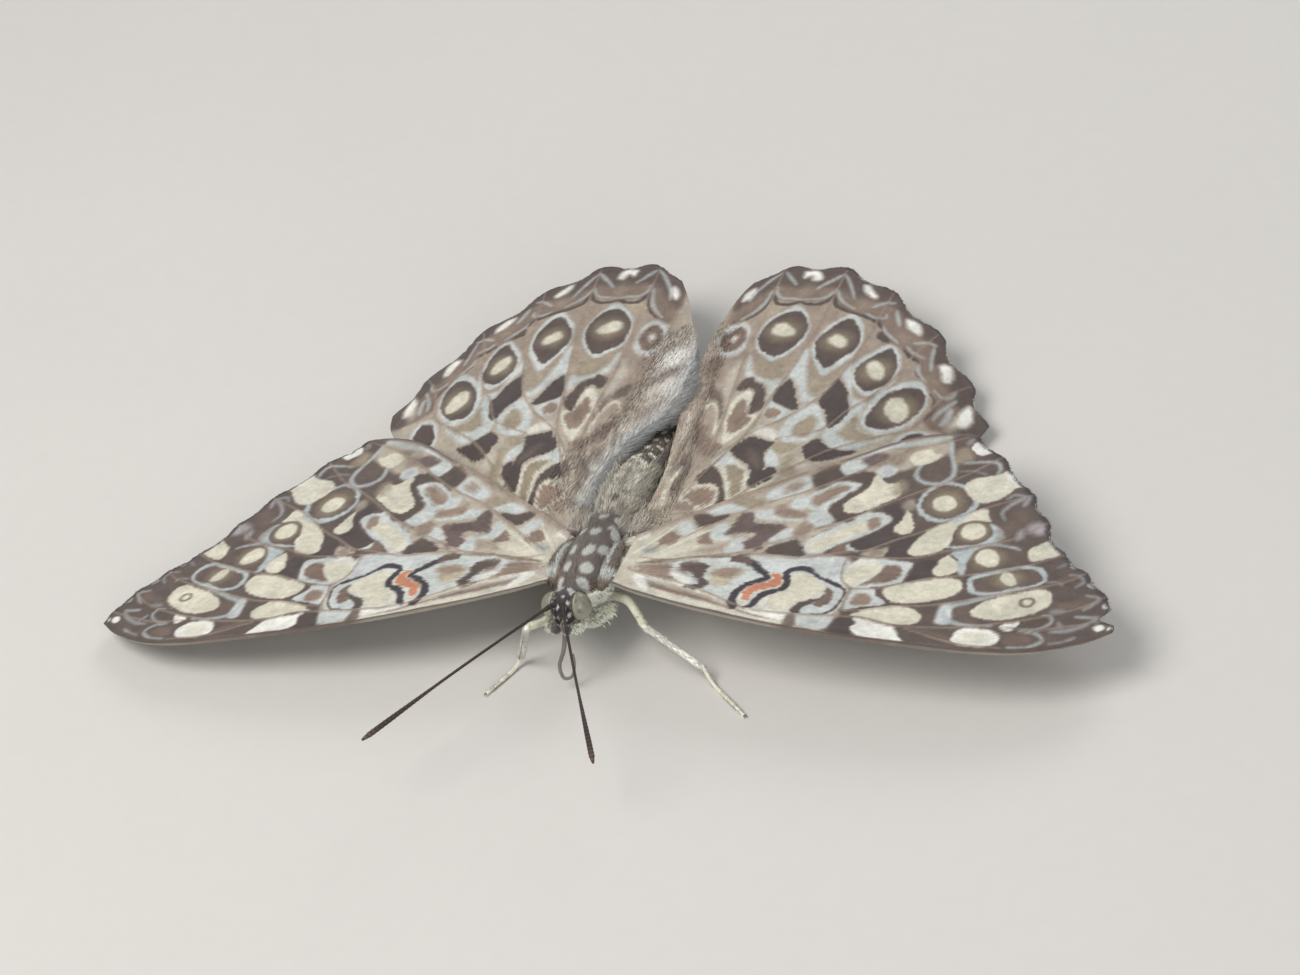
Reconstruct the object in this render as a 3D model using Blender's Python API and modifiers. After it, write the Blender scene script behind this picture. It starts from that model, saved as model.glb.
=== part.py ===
"""Variable cracker butterfly (Hamadryas feronia), life size, wings spread flat.

Frame: metres, +Z up, the floor is Z = 0, the head looks along -Y and the
insect's own left side is +X.  All sizes below are written in millimetres.
"""
import math

import bmesh
import bpy
import numpy as np

MM = 0.001
ORIGIN = (0.1287, 5.8459, 0.0)   # the middle of the whole insect's box, on the floor
THICK = 0.5          # wing plate thickness
GAP = 0.3            # clearance between neighbouring pieces

for ob in list(bpy.data.objects):
    bpy.data.objects.remove(ob, do_unlink=True)

scene = bpy.context.scene


# ---------------------------------------------------------------- helpers
def finish_of(name, rgb, rough=0.7, metal=0.0):
    m = bpy.data.materials.get(name)
    if m is None:
        m = bpy.data.materials.new(name)
        m.use_nodes = True
        b = m.node_tree.nodes["Principled BSDF"]
        b.inputs["Base Color"].default_value = (*rgb, 1.0)
        b.inputs["Roughness"].default_value = rough
        b.inputs["Metallic"].default_value = metal
        m.diffuse_color = (*rgb, 1.0)
    return m


WING = finish_of("wing_scales", (0.42, 0.38, 0.32), 0.75)
BODY = finish_of("body_hair", (0.20, 0.17, 0.15), 0.85)
EYE = finish_of("eye", (0.30, 0.32, 0.26), 0.25)
HORN = finish_of("antenna", (0.05, 0.035, 0.03), 0.5)
LEG = finish_of("leg", (0.75, 0.74, 0.58), 0.7)
TONGUE = finish_of("proboscis", (0.35, 0.33, 0.30), 0.5)


def add(name, bm, material):
    """Turn a bmesh in millimetres into an object in metres."""
    bmesh.ops.recalc_face_normals(bm, faces=bm.faces)
    bmesh.ops.translate(bm, vec=(-ORIGIN[0], -ORIGIN[1], -ORIGIN[2]), verts=bm.verts)
    bmesh.ops.scale(bm, vec=(MM, MM, MM), verts=bm.verts)
    me = bpy.data.meshes.new(name)
    bm.to_mesh(me)
    bm.free()
    me.materials.append(material)
    ob = bpy.data.objects.new(name, me)
    scene.collection.objects.link(ob)
    return ob


def smooth_path(points, count):
    """Even steps along a Catmull-Rom curve through a few named points."""
    p = np.array(points, float)
    p = np.vstack([2 * p[0] - p[1], p, 2 * p[-1] - p[-2]])
    out = []
    for i in range(1, len(p) - 2):
        t = np.linspace(0, 1, 16, endpoint=False)[:, None]
        a, b, c, d = p[i - 1], p[i], p[i + 1], p[i + 2]
        out.append(0.5 * (2 * b + (c - a) * t + (2 * a - 5 * b + 4 * c - d) * t ** 2
                          + (3 * b - a - 3 * c + d) * t ** 3))
    out.append(p[-2][None])
    out = np.vstack(out)
    s = np.concatenate([[0], np.cumsum(np.linalg.norm(np.diff(out, axis=0), axis=1))])
    want = np.linspace(0, s[-1], count)
    return np.stack([np.interp(want, s, out[:, k]) for k in range(out.shape[1])], 1)


# ------------------------------------------------------------------ wings
# Wing outlines in the plane, one side; the other side mirrors them.
FORE = {
    "costa": [(2.4, -4.7), (5.5, -5.95), (11, -7.55), (17, -8.75), (23, -9.4), (29, -9.65),
              (33, -9.2), (36.4, -7.7), (38.3, -6.2)],
    "inner": [(2.5, 0.7), (6.5, 3.8), (11, 7.0), (15.5, 10.0), (19, 12.4), (21.6, 13.3), (24.0, 13.4)],
    "vein_ends": [(38.3, -6.2), (38.2, -4.9), (37.1, -2.7), (35.2, -0.5), (33.4, 1.15), (31.4, 4.4),
                  (29.7, 7.2), (26.5, 11.1), (24.0, 13.4)],
    "notch": [0.0, 0.15, 0.2, 0.15, 0.35, 0.3, 0.4, 0.35],
}
HIND_COSTA = [(2.5, 1.9), (6, 2.9), (10, 5.2), (14, 8.4), (17.5, 12.0), (20.0, 15.0), (21.7, 17.6), (22.3, 19.9)]
HIND_ENDS = [(22.3, 19.9), (20.4, 23.7), (16.8, 28.5), (12.4, 32.2), (8.1, 34.4), (3.9, 34.2), (1.4, 32.0)]
HIND = {
    "costa": HIND_COSTA,
    "vein_ends": HIND_ENDS,
    "notch": [0.55, 0.75, 0.75, 0.7, 0.75, 0.15],
    # the fold next to the abdomen; it lies over the abdomen on the insect's right
    "inner": {+1: [(2.4, 5.0), (2.2, 8.0), (1.6, 12.0), (1.0, 16.0), (0.65, 20.0), (0.55, 24.0),
                   (0.55, 27.5), (0.9, 30.2), (1.4, 32.0)],
              -1: [(2.4, 5.0), (2.2, 8.0), (1.1, 11.2), (-0.7, 13.8), (-1.6, 16.4), (-1.75, 20.0),
                   (-1.4, 23.0), (-0.6, 26.5), (0.4, 29.6), (1.4, 32.0)]},
}
# heights of the wing planes and their droop toward the tips, per side
FORE_Z = {+1: (5.62, 0.0100, 0.0016), -1: (5.62, -0.0627, 0.0016)}
HIND_Z = {+1: (5.21, 0.0214, 0.0128, 0.0167), -1: (5.21, 0.1474, 0.0128, 0.0167)}
SWEEP = {("fore", +1): 0.0, ("fore", -1): 0.0091, ("hind", +1): 0.0, ("hind", -1): -0.1049}
PIVOT = {"fore": (2.5, 0.0), "hind": (2.5, 3.5)}


def margin(ends, notch, count):
    """Outer edge: lobes at the vein ends, shallow scallops between them."""
    k = len(ends) - 1
    path = smooth_path(ends, 40 * k + 1)
    s = np.concatenate([[0], np.cumsum(np.linalg.norm(np.diff(path, axis=0), axis=1))])
    at = [s[np.argmin(np.linalg.norm(path - np.array(e), axis=1))] for e in ends]
    want = np.linspace(0, s[-1], count)
    pts = np.stack([np.interp(want, s, path[:, j]) for j in (0, 1)], 1)
    tan = np.gradient(pts, axis=0)
    nrm = np.stack([-tan[:, 1], tan[:, 0]], 1)
    nrm /= np.linalg.norm(nrm, axis=1)[:, None]
    depth = np.zeros(count)
    for i in range(k):
        t = np.clip((want - at[i]) / (at[i + 1] - at[i]), 0, 1)
        depth += notch[i] * np.sin(np.pi * t) ** 2 * ((want >= at[i]) & (want <= at[i + 1]))
    return pts + nrm * depth[:, None]


def patch(costa, inner, outer, nu, nv):
    """Coons patch between the root, the two edges and the outer margin."""
    c, n = smooth_path(costa, nu + 1), smooth_path(inner, nu + 1)
    root = np.linspace(c[0], n[0], nv + 1)
    u = np.linspace(0, 1, nu + 1)[:, None, None]
    v = np.linspace(0, 1, nv + 1)[None, :, None]
    ruled_v = (1 - v) * c[:, None] + v * n[:, None]
    ruled_u = (1 - u) * root[None] + u * outer[None]
    corners = ((1 - u) * (1 - v) * c[0] + (1 - u) * v * n[0] + u * (1 - v) * c[-1] + u * v * n[-1])
    return ruled_v + ruled_u - corners


def turn(xy, pivot, angle):
    d = xy - np.array(pivot)
    ca, sa = math.cos(angle), math.sin(angle)
    return np.stack([pivot[0] + ca * d[..., 0] - sa * d[..., 1], pivot[1] + sa * d[..., 0] + ca * d[..., 1]], -1)


def fore_height(x, side):
    z0, a, b = FORE_Z[side]
    t = np.maximum(np.abs(x) - 3.0, 0)
    return z0 + a * t - b * t * t


FORE_EDGE = {}


def fore_world(xy, side):
    p = turn(xy, PIVOT["fore"], SWEEP["fore", side])
    return np.stack([side * p[..., 0] + 0.165, p[..., 1] - 0.29, fore_height(p[..., 0], side)], -1)


for _side in (+1, -1):
    FORE_EDGE[_side] = fore_world(smooth_path(FORE["inner"], 60), _side)[:, :2]


def side_of_edge(xy, side):
    """Signed distance to the forewing's inner edge, positive beneath the forewing."""
    e = FORE_EDGE[side]
    d = xy[..., None, :] - e[:-1]
    seg = e[1:] - e[:-1]
    t = np.clip((d * seg).sum(-1) / (seg ** 2).sum(-1), 0, 1)
    off = d - t[..., None] * seg
    dist = np.linalg.norm(off, axis=-1)
    i = dist.argmin(-1)
    cross = seg[i][..., 0] * np.take_along_axis(d[..., 1], i[..., None], -1)[..., 0] \
        - seg[i][..., 1] * np.take_along_axis(d[..., 0], i[..., None], -1)[..., 0]
    return np.where(cross * side < 0, 1.0, -1.0) * dist.min(-1)


def hind_world(xy, side):
    p = turn(xy, PIVOT["hind"], SWEEP["hind", side])
    z0, a, b, c = HIND_Z[side]
    t = np.maximum(np.abs(p[..., 0]) - 3.0, 0)
    z = z0 + a * t - b * t * t - c * np.maximum(p[..., 1] - 4, 0)
    low = 0.5 * (z + 1.0 + np.sqrt((z - 1.0) ** 2 + 0.12))     # never nearer the floor than this
    dz = np.maximum(low - z, 0)
    x, y = side * p[..., 0] + 0.66 * dz, p[..., 1] - 1.17 * dz
    w = np.clip((side_of_edge(np.stack([x, y], -1), side) + 2.6) / 2.6, 0, 1)
    w = w * w * (3 - 2 * w)
    under = np.minimum(low, fore_height(np.abs(x), side) - THICK - GAP - 0.08)
    return np.stack([x, y, (1 - w) * low + w * under], -1)


def wing(name, kind, side, nu, nv):
    table = FORE if kind == "fore" else HIND
    inner = table["inner"] if kind == "fore" else table["inner"][side]
    outer = margin(table["vein_ends"], table["notch"], nv + 1)
    flat = patch(table["costa"], inner, outer, nu, nv)
    place = (fore_world if kind == "fore" else hind_world)(flat, side)
    bm = bmesh.new()
    bmesh.ops.create_grid(bm, x_segments=nu, y_segments=nv, size=0.5)
    for v in bm.verts:
        i = int(round((v.co.x + 0.5) * nu))
        j = int(round((v.co.y + 0.5) * nv))
        v.co = place[i, j]
    if side < 0:
        bmesh.ops.reverse_faces(bm, faces=bm.faces)
    ob = add(name, bm, WING)
    sol = ob.modifiers.new("plate", "SOLIDIFY")
    sol.thickness = THICK * MM
    sol.offset = 0.0
    sol.use_even_offset = False
    return ob


wing("forewing_left", "fore", +1, 10, 24)
wing("forewing_right", "fore", -1, 10, 24)
wing("hindwing_left", "hind", +1, 10, 24)
wing("hindwing_right", "hind", -1, 10, 24)

# ------------------------------------------------------------------- body
# Stations along the body: Y, half width, axis height, height above and below the axis.
STATIONS = np.array([
    (-8.38, 0.30, 4.95, 0.30, 0.30),   # frons
    (-8.10, 0.66, 4.98, 0.80, 0.75),
    (-7.50, 0.86, 5.05, 1.15, 1.10),
    (-6.90, 0.90, 5.10, 1.28, 1.25),   # between the eyes
    (-6.20, 0.92, 5.10, 1.15, 1.15),
    (-5.55, 1.00, 4.95, 1.15, 1.30),   # neck
    (-5.00, 1.55, 4.75, 1.60, 2.05),   # collar
    (-4.30, 1.95, 4.50, 2.10, 2.60),
    (-3.00, 2.06, 4.35, 2.55, 2.95),
    (-1.50, 2.14, 4.30, 2.70, 2.90),   # widest part of the thorax
    (0.00, 2.04, 4.30, 2.50, 2.60),
    (1.50, 1.80, 4.30, 2.05, 2.10),
    (2.60, 1.60, 4.30, 1.72, 1.75),    # waist
    (4.00, 1.55, 4.30, 1.60, 1.60),
    (8.00, 1.50, 4.15, 1.50, 1.45),
    (10.0, 1.42, 3.90, 1.42, 1.32),
    (12.0, 1.25, 3.55, 1.25, 1.15),
    (14.6, 0.80, 3.15, 0.85, 0.75),
    (16.0, 0.28, 3.00, 0.30, 0.28),    # tip of the abdomen
])


def axis_x(y):
    """The body's axis stands a little to one side of the middle of the wings."""
    return np.interp(y, [-6.0, -4.5, 3.0, 6.0, 10.0, 13.0, 16.0], [-0.13, -0.12, -0.15, -0.38, -0.38, -0.25, -0.12])


def squareness(y):
    """The back of the thorax is flatter than an ellipse."""
    return np.interp(y, [-5.5, -4.6, 1.0, 3.0], [1.0, 0.80, 0.80, 1.0])


def body_at(y):
    row = [np.interp(y, STATIONS[:, 0], STATIONS[:, k]) for k in range(1, 5)]
    return row


def segment(name, y0, y1, rings, around=20):
    """A length of the body between two thin cuts."""
    bm = bmesh.new()
    bmesh.ops.create_cone(bm, cap_ends=True, segments=around, radius1=1, radius2=1, depth=1)
    for k in range(1, rings):
        h = -0.5 + k / rings
        geom = bm.verts[:] + bm.edges[:] + bm.faces[:]
        bmesh.ops.bisect_plane(bm, geom=geom, plane_co=(0, 0, h), plane_no=(0, 0, 1))
    for v in bm.verts:
        s = v.co.z + 0.5
        y = y0 + (y1 - y0) * s
        w, zc, up, down = body_at(y)
        cx, cy = v.co.x, v.co.y
        if cy > 0:
            e = squareness(y)
            cx, cy = math.copysign(abs(cx) ** e, cx), cy ** e
        v.co = (axis_x(y) + w * cx, y, zc + (up if cy > 0 else down) * cy)
    return add(name, bm, BODY)


segment("head", -8.38, -5.70, 9)
segment("prothorax", -5.40, -4.60, 3)
segment("thorax", -4.30, 2.10, 10)
segment("abdomen_front", 2.40, 6.60, 4)
segment("abdomen_middle", 6.90, 11.10, 4)
segment("abdomen_rear", 11.40, 16.00, 6)


def eye(name, side):
    bm = bmesh.new()
    bmesh.ops.create_uvsphere(bm, u_segments=18, v_segments=10, radius=1.0)
    bmesh.ops.scale(bm, vec=(0.90, 0.88, 1.04), verts=bm.verts)
    bmesh.ops.translate(bm, vec=(side * 0.93, 0, 0), verts=bm.verts)
    geom = bm.verts[:] + bm.edges[:] + bm.faces[:]
    cut = bmesh.ops.bisect_plane(bm, geom=geom, plane_co=(side * 1.12, 0, 0), plane_no=(-side, 0, 0),
                                 clear_outer=True)
    rim = [g for g in cut["geom_cut"] if isinstance(g, bmesh.types.BMEdge)]
    bmesh.ops.contextual_create(bm, geom=rim)
    bmesh.ops.translate(bm, vec=(-0.13, -7.05, 5.28), verts=bm.verts)
    return add(name, bm, EYE)


eye("eye_left", +1)
eye("eye_right", -1)


# ------------------------------------------------- legs, feelers, mouthparts
def tube(name, path, radii, material, count=14, bevel_res=2, floor=False):
    """A round tube along a smooth curve; a leg is cut flat where it meets the floor."""
    pts = smooth_path([tuple(p) + (r,) for p, r in zip(path, radii)], count)
    cu = bpy.data.curves.new(name, "CURVE")
    cu.dimensions = "3D"
    cu.bevel_depth = 1.0 * MM
    cu.bevel_resolution = bevel_res
    cu.use_fill_caps = True
    sp = cu.splines.new("POLY")
    sp.points.add(len(pts) - 1)
    for q, (x, y, z, r) in zip(sp.points, pts):
        q.co = (x * MM, y * MM, z * MM, 1)
        q.radius = r
    ob = bpy.data.objects.new(name + "_path", cu)
    scene.collection.objects.link(ob)
    me = bpy.data.meshes.new_from_object(ob.evaluated_get(bpy.context.evaluated_depsgraph_get()))
    bpy.data.objects.remove(ob, do_unlink=True)
    bpy.data.curves.remove(cu)
    bm = bmesh.new()
    bm.from_mesh(me)
    bpy.data.meshes.remove(me)
    bmesh.ops.remove_doubles(bm, verts=bm.verts, dist=1e-7)
    bmesh.ops.scale(bm, vec=(1 / MM, 1 / MM, 1 / MM), verts=bm.verts)
    if floor:
        geom = bm.verts[:] + bm.edges[:] + bm.faces[:]
        cut = bmesh.ops.bisect_plane(bm, geom=geom, plane_co=(0, 0, 0), plane_no=(0, 0, -1), clear_outer=True)
        rim = [g for g in cut["geom_cut"] if isinstance(g, bmesh.types.BMEdge)]
        bmesh.ops.edgenet_fill(bm, edges=rim)
        for v in bm.verts:
            if abs(v.co.z) < 1e-4:
                v.co.z = 0.0
    return add(name, bm, material)


def leg(name, hip, bend, knee, ankle, toe):
    """Femur, tibia and a tarsus that lies along the floor on a narrow flat."""
    hip, bend, knee, ankle, toe = (np.array(p, float) for p in (hip, bend, knee, ankle, toe))
    heel = ankle + (toe - ankle) * 0.22
    heel[2] = 0.24
    mid = ankle + (toe - ankle) * 0.62
    mid[2] = 0.20
    shin = knee + (ankle - knee) * 0.5
    tube(name, [hip, bend, knee, shin, ankle, heel, mid, toe],
         [0.38, 0.38, 0.33, 0.30, 0.29, 0.28, 0.27, 0.25], LEG, count=26, floor=True)


leg("midleg_left", (2.95, -3.95, 3.30), (4.15, -5.45, 3.40), (5.15, -6.75, 3.35), (9.35, -8.05, 0.95), (13.34, -11.83, 0.20))
leg("midleg_right", (-2.72, -3.70, 2.60), (-2.35, -6.10, 3.30), (-3.20, -7.90, 3.90), (-4.70, -7.25, 0.62), (-6.17, -10.68, 0.20))
leg("hindleg_left", (2.45, 0.60, 2.45), (3.6, 2.5, 3.05), (4.8, 4.3, 3.35), (7.4, 9.3, 0.85), (9.1, 14.6, 0.20))
leg("hindleg_right", (-2.35, 0.60, 2.45), (-3.5, 2.6, 3.05), (-4.5, 4.6, 3.35), (-6.7, 9.8, 0.85), (-7.9, 15.2, 0.20))

# the short brush forelegs are folded against the breast
for side, label in ((+1, "left"), (-1, "right")):
    x = -0.2
    tube("foreleg_" + label, [(x + side * 1.20, -4.75, 2.42), (x + side * 1.05, -5.60, 2.80), (x + side * 0.72, -6.35, 3.25)],
         [0.30, 0.30, 0.26], LEG, count=7)
    tube("palp_" + label, [(x + side * 0.42, -8.42, 4.10), (x + side * 0.44, -8.78, 4.48), (x + side * 0.40, -8.86, 4.98)],
         [0.26, 0.30, 0.25], BODY, count=7)

FEELER = {"left": [(0.42, -8.72, 6.08), (3.6, -15.3, 5.95), (7.18, -22.6, 5.0)],
          "right": [(-1.28, -8.75, 6.05), (-5.5, -14.9, 5.75), (-10.17, -21.4, 5.0)]}
for label, pts in FEELER.items():
    a, b, c = (np.array(p, float) for p in pts)
    tube("antenna_" + label, [a, (a + b) / 2, b, b + 0.55 * (c - b), b + 0.85 * (c - b), c],
         [0.26, 0.25, 0.25, 0.27, 0.36, 0.25], HORN, count=18)

# the tongue is half uncoiled and hangs in one drop-shaped loop
tube("proboscis", [(-0.32, -8.30, 3.30), (-0.45, -8.75, 2.60), (-0.78, -9.25, 1.70), (-0.52, -9.62, 0.95), (0.10, -9.55, 1.05),
                   (0.42, -9.30, 1.90), (0.42, -9.10, 2.70)],
     [0.27, 0.25, 0.25, 0.25, 0.25, 0.25, 0.25], TONGUE, count=26)
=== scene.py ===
"""Looks of the variable cracker (Hamadryas feronia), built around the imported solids.

All sizes in this file are millimetres in the insect's own frame: +Z up, head along -Y,
the insect's left side along +X.  place() turns them into scene metres.
"""
import math

import bpy
import numpy as np
from mathutils import Matrix


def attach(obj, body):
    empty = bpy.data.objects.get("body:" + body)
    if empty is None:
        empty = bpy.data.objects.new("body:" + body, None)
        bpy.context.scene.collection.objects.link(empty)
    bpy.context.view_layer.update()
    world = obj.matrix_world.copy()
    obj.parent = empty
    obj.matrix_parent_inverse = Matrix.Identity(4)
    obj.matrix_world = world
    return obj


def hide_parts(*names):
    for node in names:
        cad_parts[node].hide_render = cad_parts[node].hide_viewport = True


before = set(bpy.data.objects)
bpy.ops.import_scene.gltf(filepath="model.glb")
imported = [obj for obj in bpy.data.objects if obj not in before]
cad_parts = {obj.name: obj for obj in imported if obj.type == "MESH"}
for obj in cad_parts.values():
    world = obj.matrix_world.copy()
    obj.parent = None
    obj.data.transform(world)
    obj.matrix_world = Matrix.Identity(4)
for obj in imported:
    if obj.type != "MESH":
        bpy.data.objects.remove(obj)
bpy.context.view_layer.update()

MM = 0.001
ORIGIN = np.array((0.1287, 5.8459, 0.0))
THICK = 0.5
GAP = 0.3
QUICK = bool(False)
rng = np.random.default_rng(20)


def place(p):
    return (np.asarray(p, float) - ORIGIN) * MM


def smooth_path(points, count):
    """Even steps along a Catmull-Rom curve through a few named points."""
    p = np.array(points, float)
    p = np.vstack([2 * p[0] - p[1], p, 2 * p[-1] - p[-2]])
    out = []
    for i in range(1, len(p) - 2):
        t = np.linspace(0, 1, 16, endpoint=False)[:, None]
        a, b, c, d = p[i - 1], p[i], p[i + 1], p[i + 2]
        out.append(0.5 * (2 * b + (c - a) * t + (2 * a - 5 * b + 4 * c - d) * t ** 2
                          + (3 * b - a - 3 * c + d) * t ** 3))
    out.append(p[-2][None])
    out = np.vstack(out)
    s = np.concatenate([[0], np.cumsum(np.linalg.norm(np.diff(out, axis=0), axis=1))])
    want = np.linspace(0, s[-1], count)
    return np.stack([np.interp(want, s, out[:, k]) for k in range(out.shape[1])], 1)


# ------------------------------------------------------------------ wings
# Wing outlines in the plane, one side; the other side mirrors them.
FORE = {
    "costa": [(2.4, -4.7), (5.5, -5.95), (11, -7.55), (17, -8.75), (23, -9.4), (29, -9.65),
              (33, -9.2), (36.4, -7.7), (38.3, -6.2)],
    "inner": [(2.5, 0.7), (6.5, 3.8), (11, 7.0), (15.5, 10.0), (19, 12.4), (21.6, 13.3), (24.0, 13.4)],
    "vein_ends": [(38.3, -6.2), (38.2, -4.9), (37.1, -2.7), (35.2, -0.5), (33.4, 1.15), (31.4, 4.4),
                  (29.7, 7.2), (26.5, 11.1), (24.0, 13.4)],
    "notch": [0.0, 0.15, 0.2, 0.15, 0.35, 0.3, 0.4, 0.35],
}
HIND_COSTA = [(2.5, 1.9), (6, 2.9), (10, 5.2), (14, 8.4), (17.5, 12.0), (20.0, 15.0), (21.7, 17.6), (22.3, 19.9)]
HIND_ENDS = [(22.3, 19.9), (20.4, 23.7), (16.8, 28.5), (12.4, 32.2), (8.1, 34.4), (3.9, 34.2), (1.4, 32.0)]
HIND = {
    "costa": HIND_COSTA,
    "vein_ends": HIND_ENDS,
    "notch": [0.55, 0.75, 0.75, 0.7, 0.75, 0.15],
    # the fold next to the abdomen; it lies over the abdomen on the insect's right
    "inner": {+1: [(2.4, 5.0), (2.2, 8.0), (1.6, 12.0), (1.0, 16.0), (0.65, 20.0), (0.55, 24.0),
                   (0.55, 27.5), (0.9, 30.2), (1.4, 32.0)],
              -1: [(2.4, 5.0), (2.2, 8.0), (1.1, 11.2), (-0.7, 13.8), (-1.6, 16.4), (-1.75, 20.0),
                   (-1.4, 23.0), (-0.6, 26.5), (0.4, 29.6), (1.4, 32.0)]},
}
# heights of the wing planes and their droop toward the tips, per side
FORE_Z = {+1: (5.62, 0.0100, 0.0016), -1: (5.62, -0.0627, 0.0016)}
HIND_Z = {+1: (5.21, 0.0214, 0.0128, 0.0167), -1: (5.21, 0.1474, 0.0128, 0.0167)}
SWEEP = {("fore", +1): 0.0, ("fore", -1): 0.0091, ("hind", +1): 0.0, ("hind", -1): -0.1049}
PIVOT = {"fore": (2.5, 0.0), "hind": (2.5, 3.5)}


def margin(ends, notch, count):
    """Outer edge: lobes at the vein ends, shallow scallops between them."""
    k = len(ends) - 1
    path = smooth_path(ends, 40 * k + 1)
    s = np.concatenate([[0], np.cumsum(np.linalg.norm(np.diff(path, axis=0), axis=1))])
    at = [s[np.argmin(np.linalg.norm(path - np.array(e), axis=1))] for e in ends]
    want = np.linspace(0, s[-1], count)
    pts = np.stack([np.interp(want, s, path[:, j]) for j in (0, 1)], 1)
    tan = np.gradient(pts, axis=0)
    nrm = np.stack([-tan[:, 1], tan[:, 0]], 1)
    nrm /= np.linalg.norm(nrm, axis=1)[:, None]
    depth = np.zeros(count)
    for i in range(k):
        t = np.clip((want - at[i]) / (at[i + 1] - at[i]), 0, 1)
        depth += notch[i] * np.sin(np.pi * t) ** 2 * ((want >= at[i]) & (want <= at[i + 1]))
    return pts + nrm * depth[:, None]


def patch(costa, inner, outer, nu, nv):
    """Coons patch between the root, the two edges and the outer margin."""
    c, n = smooth_path(costa, nu + 1), smooth_path(inner, nu + 1)
    root = np.linspace(c[0], n[0], nv + 1)
    u = np.linspace(0, 1, nu + 1)[:, None, None]
    v = np.linspace(0, 1, nv + 1)[None, :, None]
    ruled_v = (1 - v) * c[:, None] + v * n[:, None]
    ruled_u = (1 - u) * root[None] + u * outer[None]
    corners = ((1 - u) * (1 - v) * c[0] + (1 - u) * v * n[0] + u * (1 - v) * c[-1] + u * v * n[-1])
    return ruled_v + ruled_u - corners


def turn(xy, pivot, angle):
    d = xy - np.array(pivot)
    ca, sa = math.cos(angle), math.sin(angle)
    return np.stack([pivot[0] + ca * d[..., 0] - sa * d[..., 1], pivot[1] + sa * d[..., 0] + ca * d[..., 1]], -1)


def fore_height(x, side):
    z0, a, b = FORE_Z[side]
    t = np.maximum(np.abs(x) - 3.0, 0)
    return z0 + a * t - b * t * t


FORE_EDGE = {}


def fore_world(xy, side):
    p = turn(xy, PIVOT["fore"], SWEEP["fore", side])
    return np.stack([side * p[..., 0] + 0.165, p[..., 1] - 0.29, fore_height(p[..., 0], side)], -1)


for _side in (+1, -1):
    FORE_EDGE[_side] = fore_world(smooth_path(FORE["inner"], 60), _side)[:, :2]


def side_of_edge(xy, side):
    """Signed distance to the forewing's inner edge, positive beneath the forewing."""
    e = FORE_EDGE[side]
    d = xy[..., None, :] - e[:-1]
    seg = e[1:] - e[:-1]
    t = np.clip((d * seg).sum(-1) / (seg ** 2).sum(-1), 0, 1)
    off = d - t[..., None] * seg
    dist = np.linalg.norm(off, axis=-1)
    i = dist.argmin(-1)
    cross = seg[i][..., 0] * np.take_along_axis(d[..., 1], i[..., None], -1)[..., 0] \
        - seg[i][..., 1] * np.take_along_axis(d[..., 0], i[..., None], -1)[..., 0]
    return np.where(cross * side < 0, 1.0, -1.0) * dist.min(-1)


def hind_world(xy, side):
    p = turn(xy, PIVOT["hind"], SWEEP["hind", side])
    z0, a, b, c = HIND_Z[side]
    t = np.maximum(np.abs(p[..., 0]) - 3.0, 0)
    z = z0 + a * t - b * t * t - c * np.maximum(p[..., 1] - 4, 0)
    low = 0.5 * (z + 1.0 + np.sqrt((z - 1.0) ** 2 + 0.12))     # never nearer the floor than this
    dz = np.maximum(low - z, 0)
    x, y = side * p[..., 0] + 0.66 * dz, p[..., 1] - 1.17 * dz
    w = np.clip((side_of_edge(np.stack([x, y], -1), side) + 2.6) / 2.6, 0, 1)
    w = w * w * (3 - 2 * w)
    under = np.minimum(low, fore_height(np.abs(x), side) - THICK - GAP - 0.08)
    return np.stack([x, y, (1 - w) * low + w * under], -1)


# ------------------------------------------------------------ wing markings
# Every marking is a loop, an oval or a stroke in the plane of the spread wing, in millimetres:
# X runs from the body to the tip and Y from the leading edge toward the hind margin.
INK = {
    "dark": (78, 67, 64), "black": (50, 46, 54), "deep": (92, 80, 74), "umber": (112, 95, 86),
    "taupe": (140, 122, 109), "olive": (154, 143, 124), "sand": (182, 172, 148), "dun": (154, 141, 128),
    "stone": (174, 166, 152), "mist": (178, 190, 194), "ice": (198, 206, 206), "white": (238, 240, 234),
    "cream": (214, 212, 194), "pearl": (214, 213, 198), "rose": (196, 191, 178), "brick": (196, 126, 98),
    "violet": (178, 176, 186), "slate": (150, 156, 160), "vein": (148, 132, 118), "soot": (66, 58, 58),
    "plum": (98, 84, 84), "halo": (148, 137, 112),
}


def rounded_loop(points, per=7, closed=True):
    """A Catmull-Rom curve through a few corners."""
    p = np.array(points, float)
    if closed:
        p = np.vstack([p[-1], p, p[0], p[1]])
    else:
        p = np.vstack([2 * p[0] - p[1], p, 2 * p[-1] - p[-2]])
    t = np.linspace(0, 1, per, endpoint=False)[:, None]
    out = []
    for a, b, c, d in zip(p[:-3], p[1:-2], p[2:-1], p[3:]):
        out.append(0.5 * (2 * b + (c - a) * t + (2 * a - 5 * b + 4 * c - d) * t ** 2 + (3 * b - a - 3 * c + d) * t ** 3))
    if not closed:
        out.append(p[-2][None])
    return np.vstack(out)


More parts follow.
